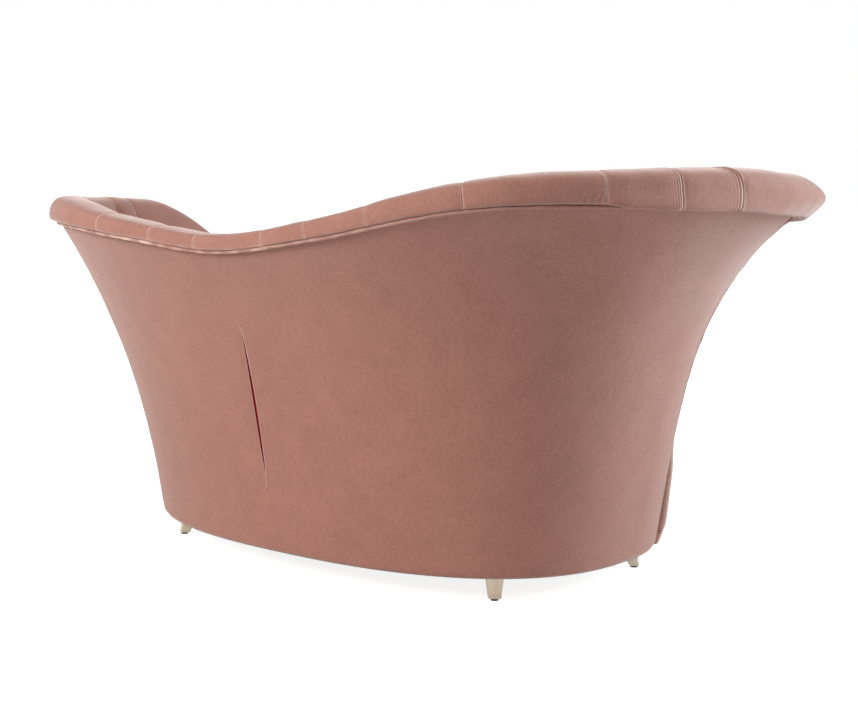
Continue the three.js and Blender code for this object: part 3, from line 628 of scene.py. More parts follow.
def makeSlitStitches():
    mesh = bmesh.new()
    for top, bottom in stitches["runs"]:
        count = int((top - bottom) / stitches["pitch"])
        for i in range(count):
            z = top - (i + 0.5) * (top - bottom) / count
            share = slitShare(z)
            point, aside = backPoint(share, z, -stitches["proud"]), deepen(planAt(share)[1])
            slant = aside * stitches["slant"] * (1 if i % 2 else stitches["short"])
            slant = slant + np.array([0, 0, stitches["slant"]])
            start, end = Vector(point - slant), Vector(point + slant)
            along = end - start
            turn = along.to_track_quat("Z", "Y").to_matrix().to_4x4()
            size = Matrix.Diagonal((stitches["thickness"], stitches["thickness"], along.length, 1))
            stitch = bmesh.ops.create_uvsphere(mesh, u_segments=8, v_segments=6, radius=0.5)["verts"]
            bmesh.ops.transform(mesh, matrix=Matrix.Translation((start + end) / 2) @ turn @ size, verts=stitch)
    finishPiece("pleatStitches", mesh, threadCloth)


# Piping round the outside back, more uneven and paler towards the foot end, its pale patches painted sheen of
# the nap and partly wear
piping = dict(
    radius=0.0034, stand=0.0044, drop=0.0024, tucked=0.002, ahead=0.0014, corner=0.022, sides=12,
    columnWidth=0.004, edgeSteps=60, rimSteps=701, overlap=3, footLift=0.002, footTuck=0.004,
    footReach=0.012, middleHeight=0.4,
    wobble=0.08, growing=2.2, lumps=(0.011, 3.0), twist=0.6, twistLength=0.0021, swaying=2, sways=(0.024, 5.0),
    wornAndSheened=(0.45, 0.9), patches=(0.016, 2.0), sheenWearFrom=0.4, sheenWearBy=4, sheenWearMost=0.8,
)


def pipingPath():
    low, edges = back["clearance"], []
    for end, forward in ((0.0, -1), (1.0, 1)):
        z = np.linspace(low + piping["footLift"], rimZ(end), piping["edgeSteps"] + 1)[:-1]
        tucked = piping["tucked"] + piping["footTuck"] * within(1 - (z - low) / piping["footReach"]) ** 2
        edges.append(backPoint(end + forward * piping["ahead"] / backLength, z, tucked))
    share = np.linspace(0, 1, piping["rimSteps"])
    point, outward, lift = rimFrame(share)
    turned = eased(np.minimum(share, 1 - share) / piping["corner"])[:, None]
    up = piping["ahead"] * (1 - turned) - piping["drop"] * turned
    rim = point + outward * blend(-piping["tucked"], piping["stand"], turned) + lift * up
    return np.concatenate([edges[0], rim[piping["overlap"]:-piping["overlap"]], edges[1][::-1]])


def makePiping():
    path, radius, reach = pipingPath(), piping["radius"], piping["columnWidth"]
    steps = lengthsAlong(path)

    def shape(u, v):
        length = u * steps[-1]
        centre = readAlong(length, steps, path)
        ahead = readAlong(np.minimum(length + reach, steps[-1]), steps, path)
        tangent = normalised(ahead - readAlong(np.maximum(length - reach, 0), steps, path))
        aside = normalised(np.cross(tangent, centre - np.array([*back["centre"], piping["middleHeight"]])))
        out = np.cross(aside, tangent)
        uneven = piping["wobble"] * (1 + piping["growing"] * u)
        twist = piping["wobble"] * piping["twist"] * np.sin(length / piping["twistLength"])
        size = radius * (1 + uneven * grain(centre, *piping["lumps"]) + twist)
        sway = radius * piping["swaying"] * uneven * grain(centre, *piping["sways"])
        centre = centre + out * sway[:, None]
        angle = 2 * math.pi * v
        spots = centre + out * (size * np.cos(angle))[:, None] + aside * (size * np.sin(angle))[:, None]
        # Pale patches growing towards the foot end: painted sheen of the nap, partly wear
        least, patchy = piping["wornAndSheened"]
        wornAndSheened = within(least + patchy * grain(centre, *piping["patches"]))
        wornAndSheened = wornAndSheened * np.clip((u - piping["sheenWearFrom"]) * piping["sheenWearBy"], 0, piping["sheenWearMost"])
        return spots, np.stack([length, angle * radius], -1), wornAndSheened

    mesh = shapedGrid(int(steps[-1] / reach), piping["sides"], shape, joined=True, capped=True)
    piece = finishPiece("backPiping", mesh, pipingVelvet)
    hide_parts("back_welt")


# Channels of the inside back, rolled over the rim
channels = dict(
    seams=(0, 0.126, 0.167, 0.205, 0.272, 0.335, 0.391, 0.439, 0.53, 0.59, 0.664, 0.866, 0.889, 1),
    rise=0.092, rises=(1, 0.93, 0.65, 0.47, 0.4, 0.43, 0.67, 0.71, 0.6), footThin=0.58,
    overhang=0.062, overhangs=(1.27, 0.47, 0.26, 0.16, 0.13, 0.16, 0.39, 0.42, 0.42), knobFall=0.024,
    outline=((1.0, 0.45), (0.45, 0.86), (-0.3, 1.0), (-0.7, 0.8)),
    underside=((0.38, 0.045), (0.68, 0.06), (0.94, 0.12)),
    bowShares=(0, 0.06, 0.126, 0.167, 0.2), bows=(0, 0.012, 0.021, 0.009, 0), bowed=(1, 0.95, 0.8, 0.5),
    sagShares=(0.19, 0.213), sagged=((0.0088, 0.0012), (0.0125, -0.0035), (0.03, -0.0042)),
    dip=0.0026, dipParts=(0.7, 0.3), dipReach=0.0035, valley=0.022, halfGap=0.0002, crownPower=2.6,
    nose=0.042, closings=(0.085, 0.17), turning=0.085, noseInset=0.0025, noseLean=0.2, noseFoot=0.012,
    frontRows=104, rearRows=12, faceSteps=6, curveSteps=24, rimSteps=400, rowCrowding=1.12,
    columnWidth=0.0062, fineWidth=0.0019, fineOnes=(1, 2, 3), fewest=14, seamCrowding=0.82, headCrowding=0.5,
    firstSteps=(0.004, 0.009, 0.015, 0.022, 0.03, 0.04, 0.052, 0.066), lastSteps=(0.085, 1, 40),
    seat=0.001, drop=0.008, dropFade=10, noseFade=2, outRows=(8, 20), rippleFade=(0.05, 0.04), chartStep=0.37,
)
fullRiseAt = easedHeights(channels["rises"], channels["rise"])
overhangAt = easedHeights(channels["overhangs"], channels["overhang"])
lastChannel = len(channels["seams"]) - 2


def riseAt(share):
    # The roll thins towards the foot corner
    _, start, end = back["footDrop"]
    return fullRiseAt(share) * (1 - channels["footThin"] * within((share - start) / (end - start)) ** 2)


def proudAt(share):
    # The roll's end closes where the rim turns down the arm's front
    return np.sqrt(1 - within(cornerDrop(share, *back["headDrop"]) / channels["knobFall"]) ** 2)


def sagAt(share):
    # Towards the head the roll hangs over the piping
    start, end = channels["sagShares"]
    return eased((end - share) / (end - start)) * proudAt(share) ** 2


def throughPoints(points, count):
    # Centripetal curve through each column's points, then rows along it, closer at its start
    before, after = 2 * points[:, :1] - points[:, 1:2], 2 * points[:, -1:] - points[:, -2:-1]
    ends = np.concatenate([before, points, after], 1)
    gaps = np.sqrt(np.linalg.norm(np.diff(ends, axis=1), axis=-1)) + 1e-9
    last = points.shape[1] - 2
    pieces = []
    for i in range(last + 1):
        a, b, c, d = (ends[:, i + k, None, :] for k in range(4))
        g0, g1, g2 = (gaps[:, i + k, None, None] for k in range(3))
        start = ((b - a) / g0 - (c - a) / (g0 + g1) + (c - b) / g1) * g1
        end = ((c - b) / g1 - (d - b) / (g1 + g2) + (d - c) / g2) * g1
        w = np.linspace(0, 1, channels["curveSteps"], endpoint=i == last)[None, :, None]
        pieces.append(hermite(b, c, start, end, w))
    rows = np.linspace(0, 1, count) ** channels["rowCrowding"]
    curves = []
    for curve in np.concatenate(pieces, 1):
        lengths = lengthsAlong(curve)
        curves.append(readAlong(rows * lengths[-1], lengths, curve))
    return np.array(curves)


def channelStops(index):
    # One stop for each column of a channel: along the rim, and at the ends down the arm's front
    gap, atHead, atFoot = channels["halfGap"] / backLength, index == 0, index == lastChannel
    low = 0.0 if atHead else channels["seams"][index] + gap
    high = 1.0 if atFoot else channels["seams"][index + 1] - gap
    fine = np.linspace(low, high, channels["rimSteps"])
    lengths = lengthsAlong(backPoint(fine, rimZ(fine)))
    width = channels["fineWidth"] if index in channels["fineOnes"] else channels["columnWidth"]
    even = np.linspace(0, 1, max(channels["fewest"], int(lengths[-1] / width)) + 1)
    if atHead:
        even = 1 - (1 - even) * (1 + channels["headCrowding"] * even)
    elif not atFoot:
        even = even - np.sin(2 * np.pi * even) / (2 * np.pi) * channels["seamCrowding"]
    share = np.interp(even * lengths[-1], lengths, fine)
    point, outward, lift = rimFrame(share)
    proud, inset = proudAt(share), channels["noseInset"]
    stops = dict(
        share=share, point=point, outward=outward, lift=lift, top=rimZ(share), rise=riseAt(share),
        overhang=(overhangAt(share) + inset) * proud - inset, lean=channels["noseLean"] * (1 - proud),
        sag=sagAt(share), drop=np.full(len(share), channels["drop"]),
    )
    run = np.interp(share, fine, lengths)
    if not atHead and not atFoot:
        return dict(stops, footShare=share, across=run / run[-1], run=run)
    end, side, first = (0.0, 1, 0) if atHead else (1.0, -1, -1)
    endZ = rimZ(end)
    frontPart = endZ - back["deck"]
    down = np.concatenate([channels["firstSteps"], np.linspace(*channels["lastSteps"])])
    fallen = down * frontPart
    turned = eased(fallen / channels["turning"])[:, None]
    closing = eased(1 - fallen / channels["closings"][first])
    _, forward, away = (deepen(vector) for vector in planAt(end))
    front = dict(
        share=np.full(len(down), end), point=backPoint(end, endZ - fallen),
        outward=np.repeat(away[None], len(down), 0),
        lift=normalised(lift[first] * (1 - turned) - side * forward * turned), top=endZ - fallen,
        rise=blend(channels["nose"], riseAt(end), within(1 - channels["noseFade"] * down)),
        overhang=blend(-inset, stops["overhang"][first], closing),
        lean=np.full(len(down), channels["noseLean"]), sag=np.zeros(len(down)),
        drop=channels["drop"] * within(1 - channels["dropFade"] * down),
    )
    total = lengths[-1] + frontPart
    seam, footEnd = high if atHead else low, end + side * channels["noseFoot"]
    onRim = (lengths[-1] - run if atHead else run) / total
    for part, across in ((stops, onRim), (front, (lengths[-1] + fallen) / total)):
        part.update(footShare=blend(seam, footEnd, across), across=across, run=across * total)
    if atHead:
        stops = {key: value[::-1] for key, value in stops.items()}
    return {key: np.concatenate([stops[key], front[key]]) for key in stops}


def channelRings(index):
    stops = channelStops(index)
    point, outward, lift = stops["point"], stops["outward"], stops["lift"]
    share, footShare, top, run = stops["share"], stops["footShare"], stops["top"], stops["run"]
    nearest, centred = np.minimum(run, run[-1] - run), stops["across"]
    if index in (0, lastChannel):
        nearest, centred = run, np.minimum(centred, 0.5)
    crown = np.sqrt(within(1 - np.abs(2 * centred - 1) ** channels["crownPower"]))
    atSeam, overAll = channels["dipParts"]
    dip = channels["dip"] * (atSeam * fading(nearest, channels["dipReach"]) + overAll * (1 - crown))

    def depthAt(along, z):
        return layerDepth(along, z, back["thickBelow"], back["thickAbove"]) - channels["valley"] * (1 - crown)

    def burlapPoint(along, z):
        return backPoint(along, z, layerDepth(along, z, back["burlapBelow"], back["burlapAbove"]))

    points = [point + lift * channels["seat"]]

    def addPoint(out, up):
        points.append(point + outward * out[:, None] + lift * up[:, None])

    proud, height = stops["overhang"] - dip, stops["rise"] - dip
    for (sideways, part), (hungOut, hungUp) in zip(channels["underside"], channels["sagged"]):
        up = np.maximum(part * height, channels["seat"])
        out = sideways * proud - stops["lean"] * up
        addPoint(blend(out, hungOut, stops["sag"]), blend(up, hungUp, stops["sag"]))
    bow = np.interp(share, channels["bowShares"], channels["bows"])[:, None] * np.cross(outward, lift)
    for number, weight in enumerate(channels["bowed"]):
        points[number] = points[number] + bow * weight
    reach = depthAt(share, top) * np.hypot(1, flareAt(share, top)[1])
    for sideways, part in channels["outline"]:
        up = part * height
        addPoint(sideways * proud - stops["lean"] * up if sideways > 0 else sideways * reach, up)
    for down in np.linspace(0, 1, channels["faceSteps"]):
        along, z = blend(share, footShare, down), blend(top, back["deck"], down)
        points.append(backPoint(along, z, depthAt(along, z)))
    front = throughPoints(np.stack(points, 1), channels["frontRows"])
    rear = []
    for down in np.linspace(1, 0, channels["rearRows"] - 2):
        rear.append(burlapPoint(blend(share, footShare, down), blend(top - stops["drop"], back["deck"], down)))
    rear.append(burlapPoint(share, top) + lift * 2 * channels["seat"])
    rear.append(point - outward * panel["thickness"] + lift * channels["seat"])
    return stops, np.concatenate([front, np.stack(rear, 1)], 1)


# Stretch ripples beside the seams, creases at one corner, and a slow unevenness of the filling
ripples = dict(
    reach=0.022, waves={1: 0.0104}, wave=0.0064, height=0.0013, phases=(0.0, 2.0),
    sides={1: (2.3, 0.1), 2: (1.3, 0.35), 3: (0.25, 0.1)}, other=(0.08, 0.08), strengths=(0.75, 0.25),
    rowTurns=31, channelTurn=2.3, bending=0.1, bendTurns=13, creases=3, creaseHeight=0.0045, creaseRow=0.026,
    creaseRows=0.02, creaseReach=0.028, creaseWave=0.0021, creaseTurns=120,
    soft=((0.0014, 0.085, 1.7), (0.0006, 0.03, 0.9)), calm=0.03,
)


def rippleWave(index, near, step, phase=0.0):
    length = ripples["waves"].get(index, ripples["wave"])
    bent = 1 + ripples["bending"] * np.sin(step * ripples["bendTurns"] + index)
    return np.sin(2 * math.pi * (near / length) * bent + phase)


def puckers(index, front, step, fromStart, fromEnd):
    push = np.zeros(front.shape[:2])
    strengths = ripples["sides"].get(index, ripples["other"])
    steady, varied = ripples["strengths"]
    for near, strength, phase in zip((fromStart, fromEnd), strengths, ripples["phases"]):
        along = steady + varied * np.sin(step * ripples["rowTurns"] + index * ripples["channelTurn"] + phase)
        wave = rippleWave(index, near, step, phase)
        push += ripples["height"] * strength * along * wave * fading(near, ripples["reach"])
    if index == ripples["creases"]:
        low = bell(step - ripples["creaseRow"], ripples["creaseRows"])
        wave = np.sin(fromStart / ripples["creaseWave"] + step * ripples["creaseTurns"])
        push += ripples["creaseHeight"] * low * fading(fromStart, ripples["creaseReach"]) * wave
    soft = unevenness(front, [(height, size, index * seed) for height, size, seed in ripples["soft"]])
    return push + soft * within(np.minimum(fromStart, fromEnd) / ripples["calm"])


# Pale lines painted along the seams as sheen where the pile is bent open, painted highlights on the ripple
# crests, and a patchy pale line at the roll's lower edge
paleLines = dict(
    width=0.002, sides=(0.8, 0.5), doubled=(1, 2), second=0.008, secondWidth=0.0018, crests=0.45,
    crestStart=4.6, edge=0.5, edgeRow=0.012, edgeFrom=7, edgeElse=0.35, patches=(0.6, 0.4),
    patchTurns=(95, 31),
)


def paleLinesOf(index, step, fromStart, fromEnd):
    atStart, atEnd = paleLines["sides"]
    wearAndSheen = atStart * bell(fromStart, paleLines["width"]) + atEnd * bell(fromEnd, paleLines["width"])
    if index in paleLines["doubled"]:
        # A second painted sheen line beside the seam, and painted highlights on the ripple crests
        crest = (0.5 + 0.5 * rippleWave(index, fromStart, step)) ** 3
        along = 0.5 + 0.5 * np.sin(step * ripples["rowTurns"] + paleLines["crestStart"])
        wearAndSheen = wearAndSheen + bell(fromStart - paleLines["second"], paleLines["secondWidth"])
        wearAndSheen = wearAndSheen + paleLines["crests"] * crest * fading(fromStart, ripples["reach"]) * along
    # A patchy pale line along the roll's lower edge, fainter on the first seven channels
    edge = bell(step - paleLines["edgeRow"], paleLines["edgeRow"])
    if index < paleLines["edgeFrom"]:
        edge = edge * paleLines["edgeElse"]
    steady, varied = paleLines["patches"]
    quick, slow = paleLines["patchTurns"]
    patchy = steady + varied * np.sin(fromStart * quick + index) * np.sin(fromStart * slow + 2 * index)
    return within(wearAndSheen + paleLines["edge"] * edge * patchy)


def makeChannel(index):
    stops, rings = channelRings(index)
    rows = channels["frontRows"]
    front = rings[:, :rows]
    normal = np.cross(np.gradient(front, axis=1), np.gradient(front, axis=0))
    normal /= np.linalg.norm(normal, axis=-1, keepdims=True) + 1e-12
    outSide = (stops["outward"] + stops["lift"])[:, None, :]
    normal *= np.sign((normal[:, slice(*channels["outRows"])] * outSide).sum(-1).mean())
    step, run = np.linspace(0, 1, rows)[None, :], stops["run"]
    seams = run[:, None], (run[-1] - run)[:, None]
    atStart, atEnd = channels["rippleFade"]
    fade = within(step / atStart) * within((1 - step) / atEnd)
    front += normal * (puckers(index, front, step, *seams) * fade)[..., None]
    columns, points = rings.shape[0] - 1, rings.shape[1]
    wearAndSheen = np.zeros((columns + 1, points + 1))
    wearAndSheen[:, :rows] = paleLinesOf(index, step, *seams)
    closed = np.concatenate([rings, rings[:, :1]], 1)
    away = lengthsAlong(rings[rings.shape[0] // 2])
    away = np.append(away, away[-1] + 0.01)

    def shape(u, v):
        i, j = np.rint(u * columns).astype(int), np.rint(v * points).astype(int)
        return closed[i, j], np.stack([run[i] + index * channels["chartStep"], away[j]], -1), wearAndSheen[i, j]

    mesh = shapedGrid(columns, points, shape, joined=True, capped=True)
    piece = finishPiece(f"channel{index + 1:02d}", mesh, channelVelvet)
    soften(piece, 1)
    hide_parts(f"channel_{index + 1:02d}")


# Front apron with its band below the seam
apron = dict(
    bow=0.23, curveSteps=401, sightStep=0.002, top=0.33, columns=150, backing=0.0095, endGap=0.002,
    belly=0.018, bellies=(0.55, 1.04, 1.0, 0.87, 0.72, 0.34, 0.05),
    seamPull=(0.0016, 0.003), endPull=(0.003, 0.0025), endHighlight=(0.5, 0.02), paleLines=(0.15, 0.0015),
)
bellyAt = easedHeights(apron["bellies"], apron["belly"])


def frontTable(z):
    # The front edge at a height: a curve from the back's foot end to its head end
    ends = np.array([1.0, 0.0])
    (a, d), (footWay, headWay) = backPoint(ends, z), deepen(planAt(ends)[1])
    b, c = a + footWay * apron["bow"], d - headWay * apron["bow"]
    w = np.linspace(0, 1, apron["curveSteps"])[:, None]
    points = (1 - w) ** 3 * a + 3 * w * (1 - w) ** 2 * b + 3 * w**2 * (1 - w) * c + w**3 * d
    return points, lengthsAlong(points)


def frontPoint(share, z, depth):
    share, z, depth = np.broadcast_arrays(share, z, depth)
    result = np.empty(share.shape + (3,))
    for level in np.unique(z):
        chosen = z == level
        points, lengths = frontTable(level)
        wanted, step = share[chosen] * lengths[-1], apron["sightStep"]
        spot, ahead, behind = (readAlong(wanted + away, lengths, points) for away in (0, step, -step))
        tangent = normalised(ahead - behind)
        outward = np.stack([-tangent[:, 1], tangent[:, 0], np.zeros(len(tangent))], -1)
        result[chosen] = spot - outward * depth[chosen][:, None]
    return result


def makeApronPanel(name, node, bottom, top, rows):
    length = frontTable(back["clearance"])[1][-1]
    levels = (1 - np.cos(np.pi * np.linspace(0, 1, rows + 1))) / 2
    ringUp = np.concatenate([levels, levels[::-1], levels[:1]])
    ringFront = np.concatenate([np.ones(rows + 1), np.zeros(rows + 1), [1]])

    def shape(u, v):
        # A closed ring: up the belly, then down the hidden backing
        share = blend(apron["endGap"] / length, 1 - apron["endGap"] / length, u)
        step = np.rint(v * (len(ringUp) - 1)).astype(int)
        up, onFront = ringUp[step], ringFront[step] > 0
        z = np.round(bottom + (top - bottom) * up, 6)
        height = (z - back["clearance"]) / (apron["top"] - back["clearance"])
        seam, end = np.minimum(up, 1 - up) * (top - bottom), np.minimum(u, 1 - u) * length
        pulls = ((seam, *apron["seamPull"]), (end, *apron["endPull"]))
        # Painted highlight near the belly's ends and painted sheen along its seams
        paintedHighlights = ((end, *apron["endHighlight"]), (seam, *apron["paleLines"]))
        pull = sum(most * fading(distance, reach) for distance, most, reach in pulls)
        wearAndSheen = sum(most * bell(distance, width) for distance, most, width in paintedHighlights)
        depth = np.where(onFront, pull - bellyAt(height), apron["backing"])
        return frontPoint(share, z, depth), np.stack([share * length, z], -1), np.where(onFront, wearAndSheen, 0)

    mesh = shapedGrid(apron["columns"], len(ringUp) - 1, shape, joined=True, capped=True)
    piece = finishPiece(name, mesh, outsideVelvet)
    soften(piece, 1)
    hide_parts(node)


# Velvet tacked on the deck in the two front corners, where the seat doesn't reach
deckCorner = dict(
    reach=0.15, endGap=0.003, behind=0.0015, depth=0.085, height=0.3302, thickness=0.0006, grid=(30, 14),
)


def makeDeckCorner(name, start, end):
    length = frontTable(apron["top"])[1][-1]

    def shape(u, v):
        share, inset = blend(start, end, u), deckCorner["behind"] + deckCorner["depth"] * v
        spots = frontPoint(share, apron["top"], inset)
        spots[:, 2] = deckCorner["height"]
        return spots, np.stack([share * length, inset], -1)

    mesh = shapedGrid(*deckCorner["grid"], shape)
    area = sum(face.calc_area() for face in mesh.faces)
    piece = finishPiece(name, mesh, outsideVelvet)
    if piece.data.polygons[0].normal.z < 0:
        piece.data.flip_normals()
    thicken(piece, deckCorner["thickness"], 1.0)


# Tight seat, crowned and sewn round its front
seat = dict(
    height=0.427, crown=0.017, crownEdge=0.003, crownPower=2.2, crownRings=22, topInset=0.03, columns=180,
    gap=0.004, overhang=0.006, frontStart=0.07, rearSteps=161, frontSteps=61, hangPower=0.2, rounding=3,
    bottom=0.3372, bottomRings=(0, 0.4, 0.8), lip=0.0056,
    lipRings=((0, 0.03, 0), (0, 0.01, 0), (0, 0.005, 1), (0.0004, 0.0006, 1)),
    sideRings=((0.348, 0, 0.002), (0.372, 0, 0), (0.402, 0, 0), (0.416, 0.004, 0), (0.425, 0.012, 0),
               (0.429, 0.024, 0)),
    topFrom=0.425, topFade=0.01, waves=((0.0018, 0.11, 4.0), (0.0008, 0.04, 1.0)),
    sewn=0.013, quality=5, mass=0.4, pressure=4.0, frames=20, sink=-0.001, rise=0.009, spread=0.0015,
)


def seatOutline(angle, z, inset, hang=0.0):
    # Round the inside back and the front; the front's lower edge hangs lower in its middle
    forward = (channels["nose"] + 2 * seat["gap"]) / backLength
    share = np.linspace(-forward, 1 + forward, seat["rearSteps"])
    depth = layerDepth(within(share), z, back["thickBelow"], back["thickAbove"]) + seat["gap"] + inset
    rear = backPoint(share, z, depth)
    rear = np.concatenate([rear, np.zeros((len(rear), 1))], 1)
    share = np.linspace(seat["frontStart"], 1 - seat["frontStart"], seat["frontSteps"])
    front = frontPoint(share, apron["top"], seat["gap"] + inset - seat["overhang"])
    front[:, 2] = z
    low = np.sin(np.linspace(0, np.pi, len(front)))[:, None] ** seat["hangPower"]
    ring = np.concatenate([rear, np.concatenate([front, low], 1), rear[:1]])
    for _ in range(seat["rounding"]):
        ring[1:-1] = (ring[:-2] + 2 * ring[1:-1] + ring[2:]) / 4
    lengths = lengthsAlong(ring[:, :3])
    spots = readAlong(angle * lengths[-1], lengths, ring)
    return spots[:, :3] - np.array([0, 0, hang]) * spots[:, 3:]


def blowUp(piece):
    # Cloth held at its sewn lower edge and filled from inside; how far it may move is capped
    before = np.array([vert.co for vert in piece.data.vertices])
    sewn = piece.vertex_groups.new(name="sewn")
    held = [i for i, spot in enumerate(before) if spot[2] < seat["bottom"] + seat["sewn"]]
    sewn.add(held, 1.0, "REPLACE")
    cover = piece.modifiers.new("cover", "CLOTH")
    cover.settings.quality = seat["quality"]
    cover.settings.mass = seat["mass"]
    cover.settings.use_pressure = True
    cover.settings.uniform_pressure_force = seat["pressure"]
    cover.settings.effector_weights.gravity = 0
    cover.settings.vertex_group_mass = "sewn"
    cover.point_cache.frame_start, cover.point_cache.frame_end = 1, seat["frames"]
    for number in range(1, seat["frames"] + 1):
        scene.frame_set(number)
    graph = bpy.context.evaluated_depsgraph_get()
    after = np.array([vert.co for vert in piece.evaluated_get(graph).data.vertices])
    scene.frame_set(1)
    piece.modifiers.clear()
    move = after - before
    aside = np.linalg.norm(move[:, :2], axis=1) + 1e-9
    move[:, :2] *= np.minimum(1, seat["spread"] / aside)[:, None]
    move[:, 2] = np.clip(move[:, 2], seat["sink"], seat["rise"])
    print(f"seat filled, it rose {move[:, 2].max() * 1000:.1f} mm")
    for vert, spot in zip(piece.data.vertices, before + move):
        vert.co = spot
    piece.vertex_groups.clear()


def makeSeat():
    turn = np.linspace(0, 1, seat["columns"] + 1)
    low, rim = (seatOutline(turn, seat[name], seat["topInset"]) for name in ("bottom", "height"))
    middle = rim[:-1].mean(0)

    def shrunk(ring, part, height):
        smaller = blend(middle, ring, part)
        smaller[:, 2] = height
        return smaller

    rings = [shrunk(low, part, seat["bottom"]) for part in seat["bottomRings"]]
    for up, inset, hang in seat["lipRings"]:
        rings.append(seatOutline(turn, seat["bottom"] + up, inset, hang * seat["lip"]))
    rings += [seatOutline(turn, *ring) for ring in seat["sideRings"]]
    for part in np.linspace(1, 0, seat["crownRings"])[1:]:
        crowned = blend(seat["crownEdge"], seat["crown"], 1 - part ** seat["crownPower"])
        rings.append(shrunk(rim, part, seat["height"] + crowned))
    stack = np.stack(rings)

    def shape(u, v):
        i, j = np.rint(u * seat["columns"]).astype(int), np.rint(v * (len(stack) - 1)).astype(int)
        spots = stack[j, i]
        onTop = within((spots[:, 2] - seat["topFrom"]) / seat["topFade"])
        spots[:, 2] += onTop * unevenness(spots, seat["waves"])
        return spots, spots[:, :2]

    mesh = shapedGrid(seat["columns"], len(stack) - 1, shape, joined=True)
    piece = finishPiece("seatPad", mesh, seatVelvet)
    blowUp(piece)
    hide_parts("seat_pad")


# Legs: champagne leaf, square and tapered, kicked out at the foot
legs = dict(
    topWidth=0.044, topDepth=0.04, footWidth=0.03, footDepth=0.024, topInset=0.06, footInset=0.047,
    ringUnderside=0.062, topGap=0.0003, glideHeight=0.005, kick=0.6, taper=1.3, rearShares=(0.255, 0.772),
    frontAway=0.027, sightStep=0.001, corner=0.13, cuts=14, edge=0.0022, sharp=1.0,
)


def uprightEdges(mesh):
    return [edge for edge in mesh.edges if abs(edge.verts[0].co.z - edge.verts[1].co.z) > 0.5]


def makeLeg(place, share, pointAt):
    level, step = legs["ringUnderside"], legs["sightStep"]
    share = np.array([share])
    tangent = deepen(planAt(share)[1])[0]
    if pointAt is frontPoint:
        tangent = normalised((frontPoint(share + step, level, 0) - frontPoint(share - step, level, 0))[0])
    outward = np.array([-tangent[1], tangent[0], 0])
    mesh = bmesh.new()
    bmesh.ops.create_cube(mesh, size=1)
    bmesh.ops.bevel(mesh, geom=uprightEdges(mesh), offset=legs["corner"], affect="EDGES", segments=4,
                    profile=0.5, material=-1)
    bmesh.ops.subdivide_edges(mesh, edges=uprightEdges(mesh), cuts=legs["cuts"], use_grid_fill=True)
    for vert in mesh.verts:
        part = vert.co.z + 0.5
        centre = pointAt(share, level, blend(legs["footInset"], legs["topInset"], part ** legs["kick"]))[0]
        wide = blend(legs["footWidth"], legs["topWidth"], part)
        deep = blend(legs["footDepth"], legs["topDepth"], part ** legs["taper"])
        spot = centre + tangent * vert.co.x * wide + outward * vert.co.y * deep
        vert.co = (spot[0], spot[1], blend(legs["glideHeight"], level - legs["topGap"], part))
    bmesh.ops.recalc_face_normals(mesh, faces=mesh.faces[:])
    ends = [e for e in mesh.edges if len(e.link_faces) == 2 and e.calc_face_angle(0) > legs["sharp"]]
    bmesh.ops.bevel(mesh, geom=ends, offset=legs["edge"], affect="EDGES", segments=3, profile=0.5, material=-1)
    piece = finishPiece("leg" + place.title().replace("_", ""), mesh, silverLeaf)
    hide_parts(f"leg_{place}")


def makeLegs():
    away = legs["frontAway"] / frontTable(legs["ringUnderside"])[1][-1]
    head, foot = legs["rearShares"]
    makeLeg("rear_head", head, backPoint)
    makeLeg("rear_foot", foot, backPoint)
    makeLeg("front_head", 1 - away, frontPoint)
    makeLeg("front_foot", away, frontPoint)


# Dust cover stapled under the base ring
dustCover = dict(
    steps=400, inset=0.085, height=0.0612, thickness=0.0008, columns=320, rows=24, sag=(0.0007, 4),
    ripple=(0.0005, 20, 6),
)


def makeDustCover():
    low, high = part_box("dust_cover")
    middle = np.array([(low.x + high.x) / 2, (low.y + high.y) / 2])
    along, level = np.linspace(0, 1, dustCover["steps"]), legs["ringUnderside"]
    rearLine, frontLine = (pointAt(along, level, dustCover["inset"]) for pointAt in (backPoint, frontPoint))

    def staplesAt(angle):
        # The staple lines of back and front cross at the corners, so the nearer one counts
        nearest = np.full(len(angle), np.inf)
        for line, cut in ((rearLine, -np.pi / 2), (frontLine, np.pi / 2)):
            offset = line[:, :2] - middle
            turn = np.mod(np.arctan2(offset[:, 1], offset[:, 0]) - cut, 2 * np.pi)
            order = np.argsort(turn)
            wanted = np.mod(angle - cut, 2 * np.pi)
            reach = np.interp(wanted, turn[order], np.hypot(*offset[order].T), left=np.inf, right=np.inf)
            nearest = np.minimum(nearest, reach)
        return nearest

    def shape(u, v):
        # Rings from the middle out to the stapled edge, whose last column lies on its first
        angle = np.where(u > 0.999, 0.0, u * 2 * np.pi)
        reach = staplesAt(angle) * v
        (sag, sagPower), (ripple, count, ripplePower) = dustCover["sag"], dustCover["ripple"]
        sag = sag * (1 - v**sagPower) + ripple * np.sin(angle * count) * v**ripplePower
        plan = middle + np.stack([np.cos(angle), np.sin(angle)], -1) * reach[:, None]
        return np.concatenate([plan, (dustCover["height"] - sag)[:, None]], 1), plan

    mesh = shapedGrid(dustCover["columns"], dustCover["rows"], shape, joined=True)
    piece = finishPiece("dustCover", mesh, dustCloth)
    thicken(piece, dustCover["thickness"], 0.0)
    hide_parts("dust_cover")


def dressFrame():
    looks = dict(
        rib=plywood, top_rail=plywood, base_ring=plywood, spring_rail_back=plywood, spring_rail_front=hardwood,
        base_stretcher=hardwood, deck_stretcher=hardwood, front_stud=hardwood, leg_block=hardwood,
        leg_bolt=springSteel, seat_spring=springSteel, back_burlap=juteCloth, deck_burlap=juteCloth,
        glide=glidePlastic,
    )
    for name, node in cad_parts.items():
        for start, look in looks.items():
            if name.startswith(start):
                node.data.materials.clear()
                node.data.materials.append(look)


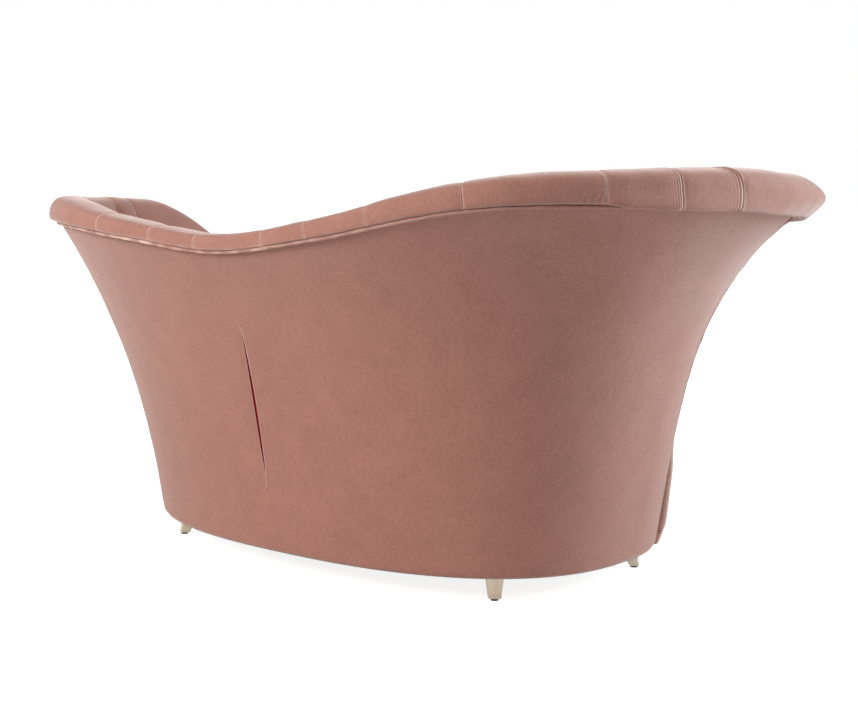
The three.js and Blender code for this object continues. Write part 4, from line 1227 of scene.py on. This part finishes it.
# Floor, backdrop and lamps: name, place, target, size, power and tint of each
studio = dict(
    floor=(214, 214, 214), floorSize=14, roughness=0.9, specular=0.1, glow=0.85, world=0.42,
    lamps=(("keyLamp", (1.72, 4.6, 2.85), (0.3, 0, 0.5), (1.8, 1.8), 190.0, (1.0, 0.94, 0.89)),
           ("rimLamp", (-3.1, -2.5, 2.0), (-0.6, 0, 0.5), (1.4, 2.0), 142.0, (0.85, 0.96, 1.0)),
           ("fillLamp", (0.2, 4.0, 3.6), (-0.1, 0, 0.8), (2.0, 2.0), 38.0, (1, 1, 1))),
)


def seenRays(tree):
    # One for rays that end in the picture, zero for those that only carry light
    path = addNode(tree, "ShaderNodeLightPath")
    seen = mathNode(tree, "MAXIMUM", path.outputs["Is Camera Ray"], path.outputs["Is Glossy Ray"])
    return mathNode(tree, "MAXIMUM", seen, path.outputs["Is Transmission Ray"])


def makeFloor():
    material, tree, _ = newMaterial("paleFloor")
    finishMaterial(material, {
        "Base Color": colour(*studio["floor"]), "Roughness": studio["roughness"],
        "Specular IOR Level": studio["specular"], "Emission Color": (1, 1, 1, 1),
        "Emission Strength": mathNode(tree, "MULTIPLY", seenRays(tree), studio["glow"]),
    })
    mesh = bmesh.new()
    bmesh.ops.create_grid(mesh, x_segments=1, y_segments=1, size=studio["floorSize"])
    data = bpy.data.meshes.new("studioFloor")
    mesh.to_mesh(data)
    mesh.free()
    data.materials.append(material)
    newObject("studioFloor", data)


def makeLamp(name, place, target, size, power, tint):
    data = bpy.data.lights.new(name, "AREA")
    data.shape = "RECTANGLE"
    data.size, data.size_y = size
    data.energy = power
    data.color = tint
    light = newObject(name, data)
    light.location = place
    light.rotation_euler = (Vector(target) - Vector(place)).to_track_quat("-Z", "Y").to_euler()


def makeStudio():
    makeFloor()
    world = bpy.data.worlds.new("studioWorld")
    scene.world = world
    world.use_nodes = True
    tree = world.node_tree
    level = levelled(tree, seenRays(tree), 1 - studio["world"], studio["world"])
    plugInto(tree, tree.nodes["Background"], {"Color": (1, 1, 1, 1), "Strength": level})
    for lamp in studio["lamps"]:
        makeLamp(*lamp)


makeCamera()
makeStudio()
print("studio ready")
makeOutsideBack()
makeSlitLining()
makeSlitStitches()
makePiping()
print("outside back ready")
for number in range(len(channels["seams"]) - 1):
    makeChannel(number)
print("channels ready")
makeApronPanel("apronBand", "apron_band", back["clearance"], 0.0927, 9)
makeApronPanel("frontApron", "front_apron", 0.093, apron["top"], 22)
makeDeckCorner("deckCornerFoot", deckCorner["endGap"], deckCorner["reach"])
makeDeckCorner("deckCornerHead", 1 - deckCorner["reach"], 1 - deckCorner["endGap"])
makeSeat()
print("seat and apron ready")
makeLegs()
makeDustCover()
dressFrame()
print("legs and frame ready")

scene.view_settings.view_transform = "Standard"
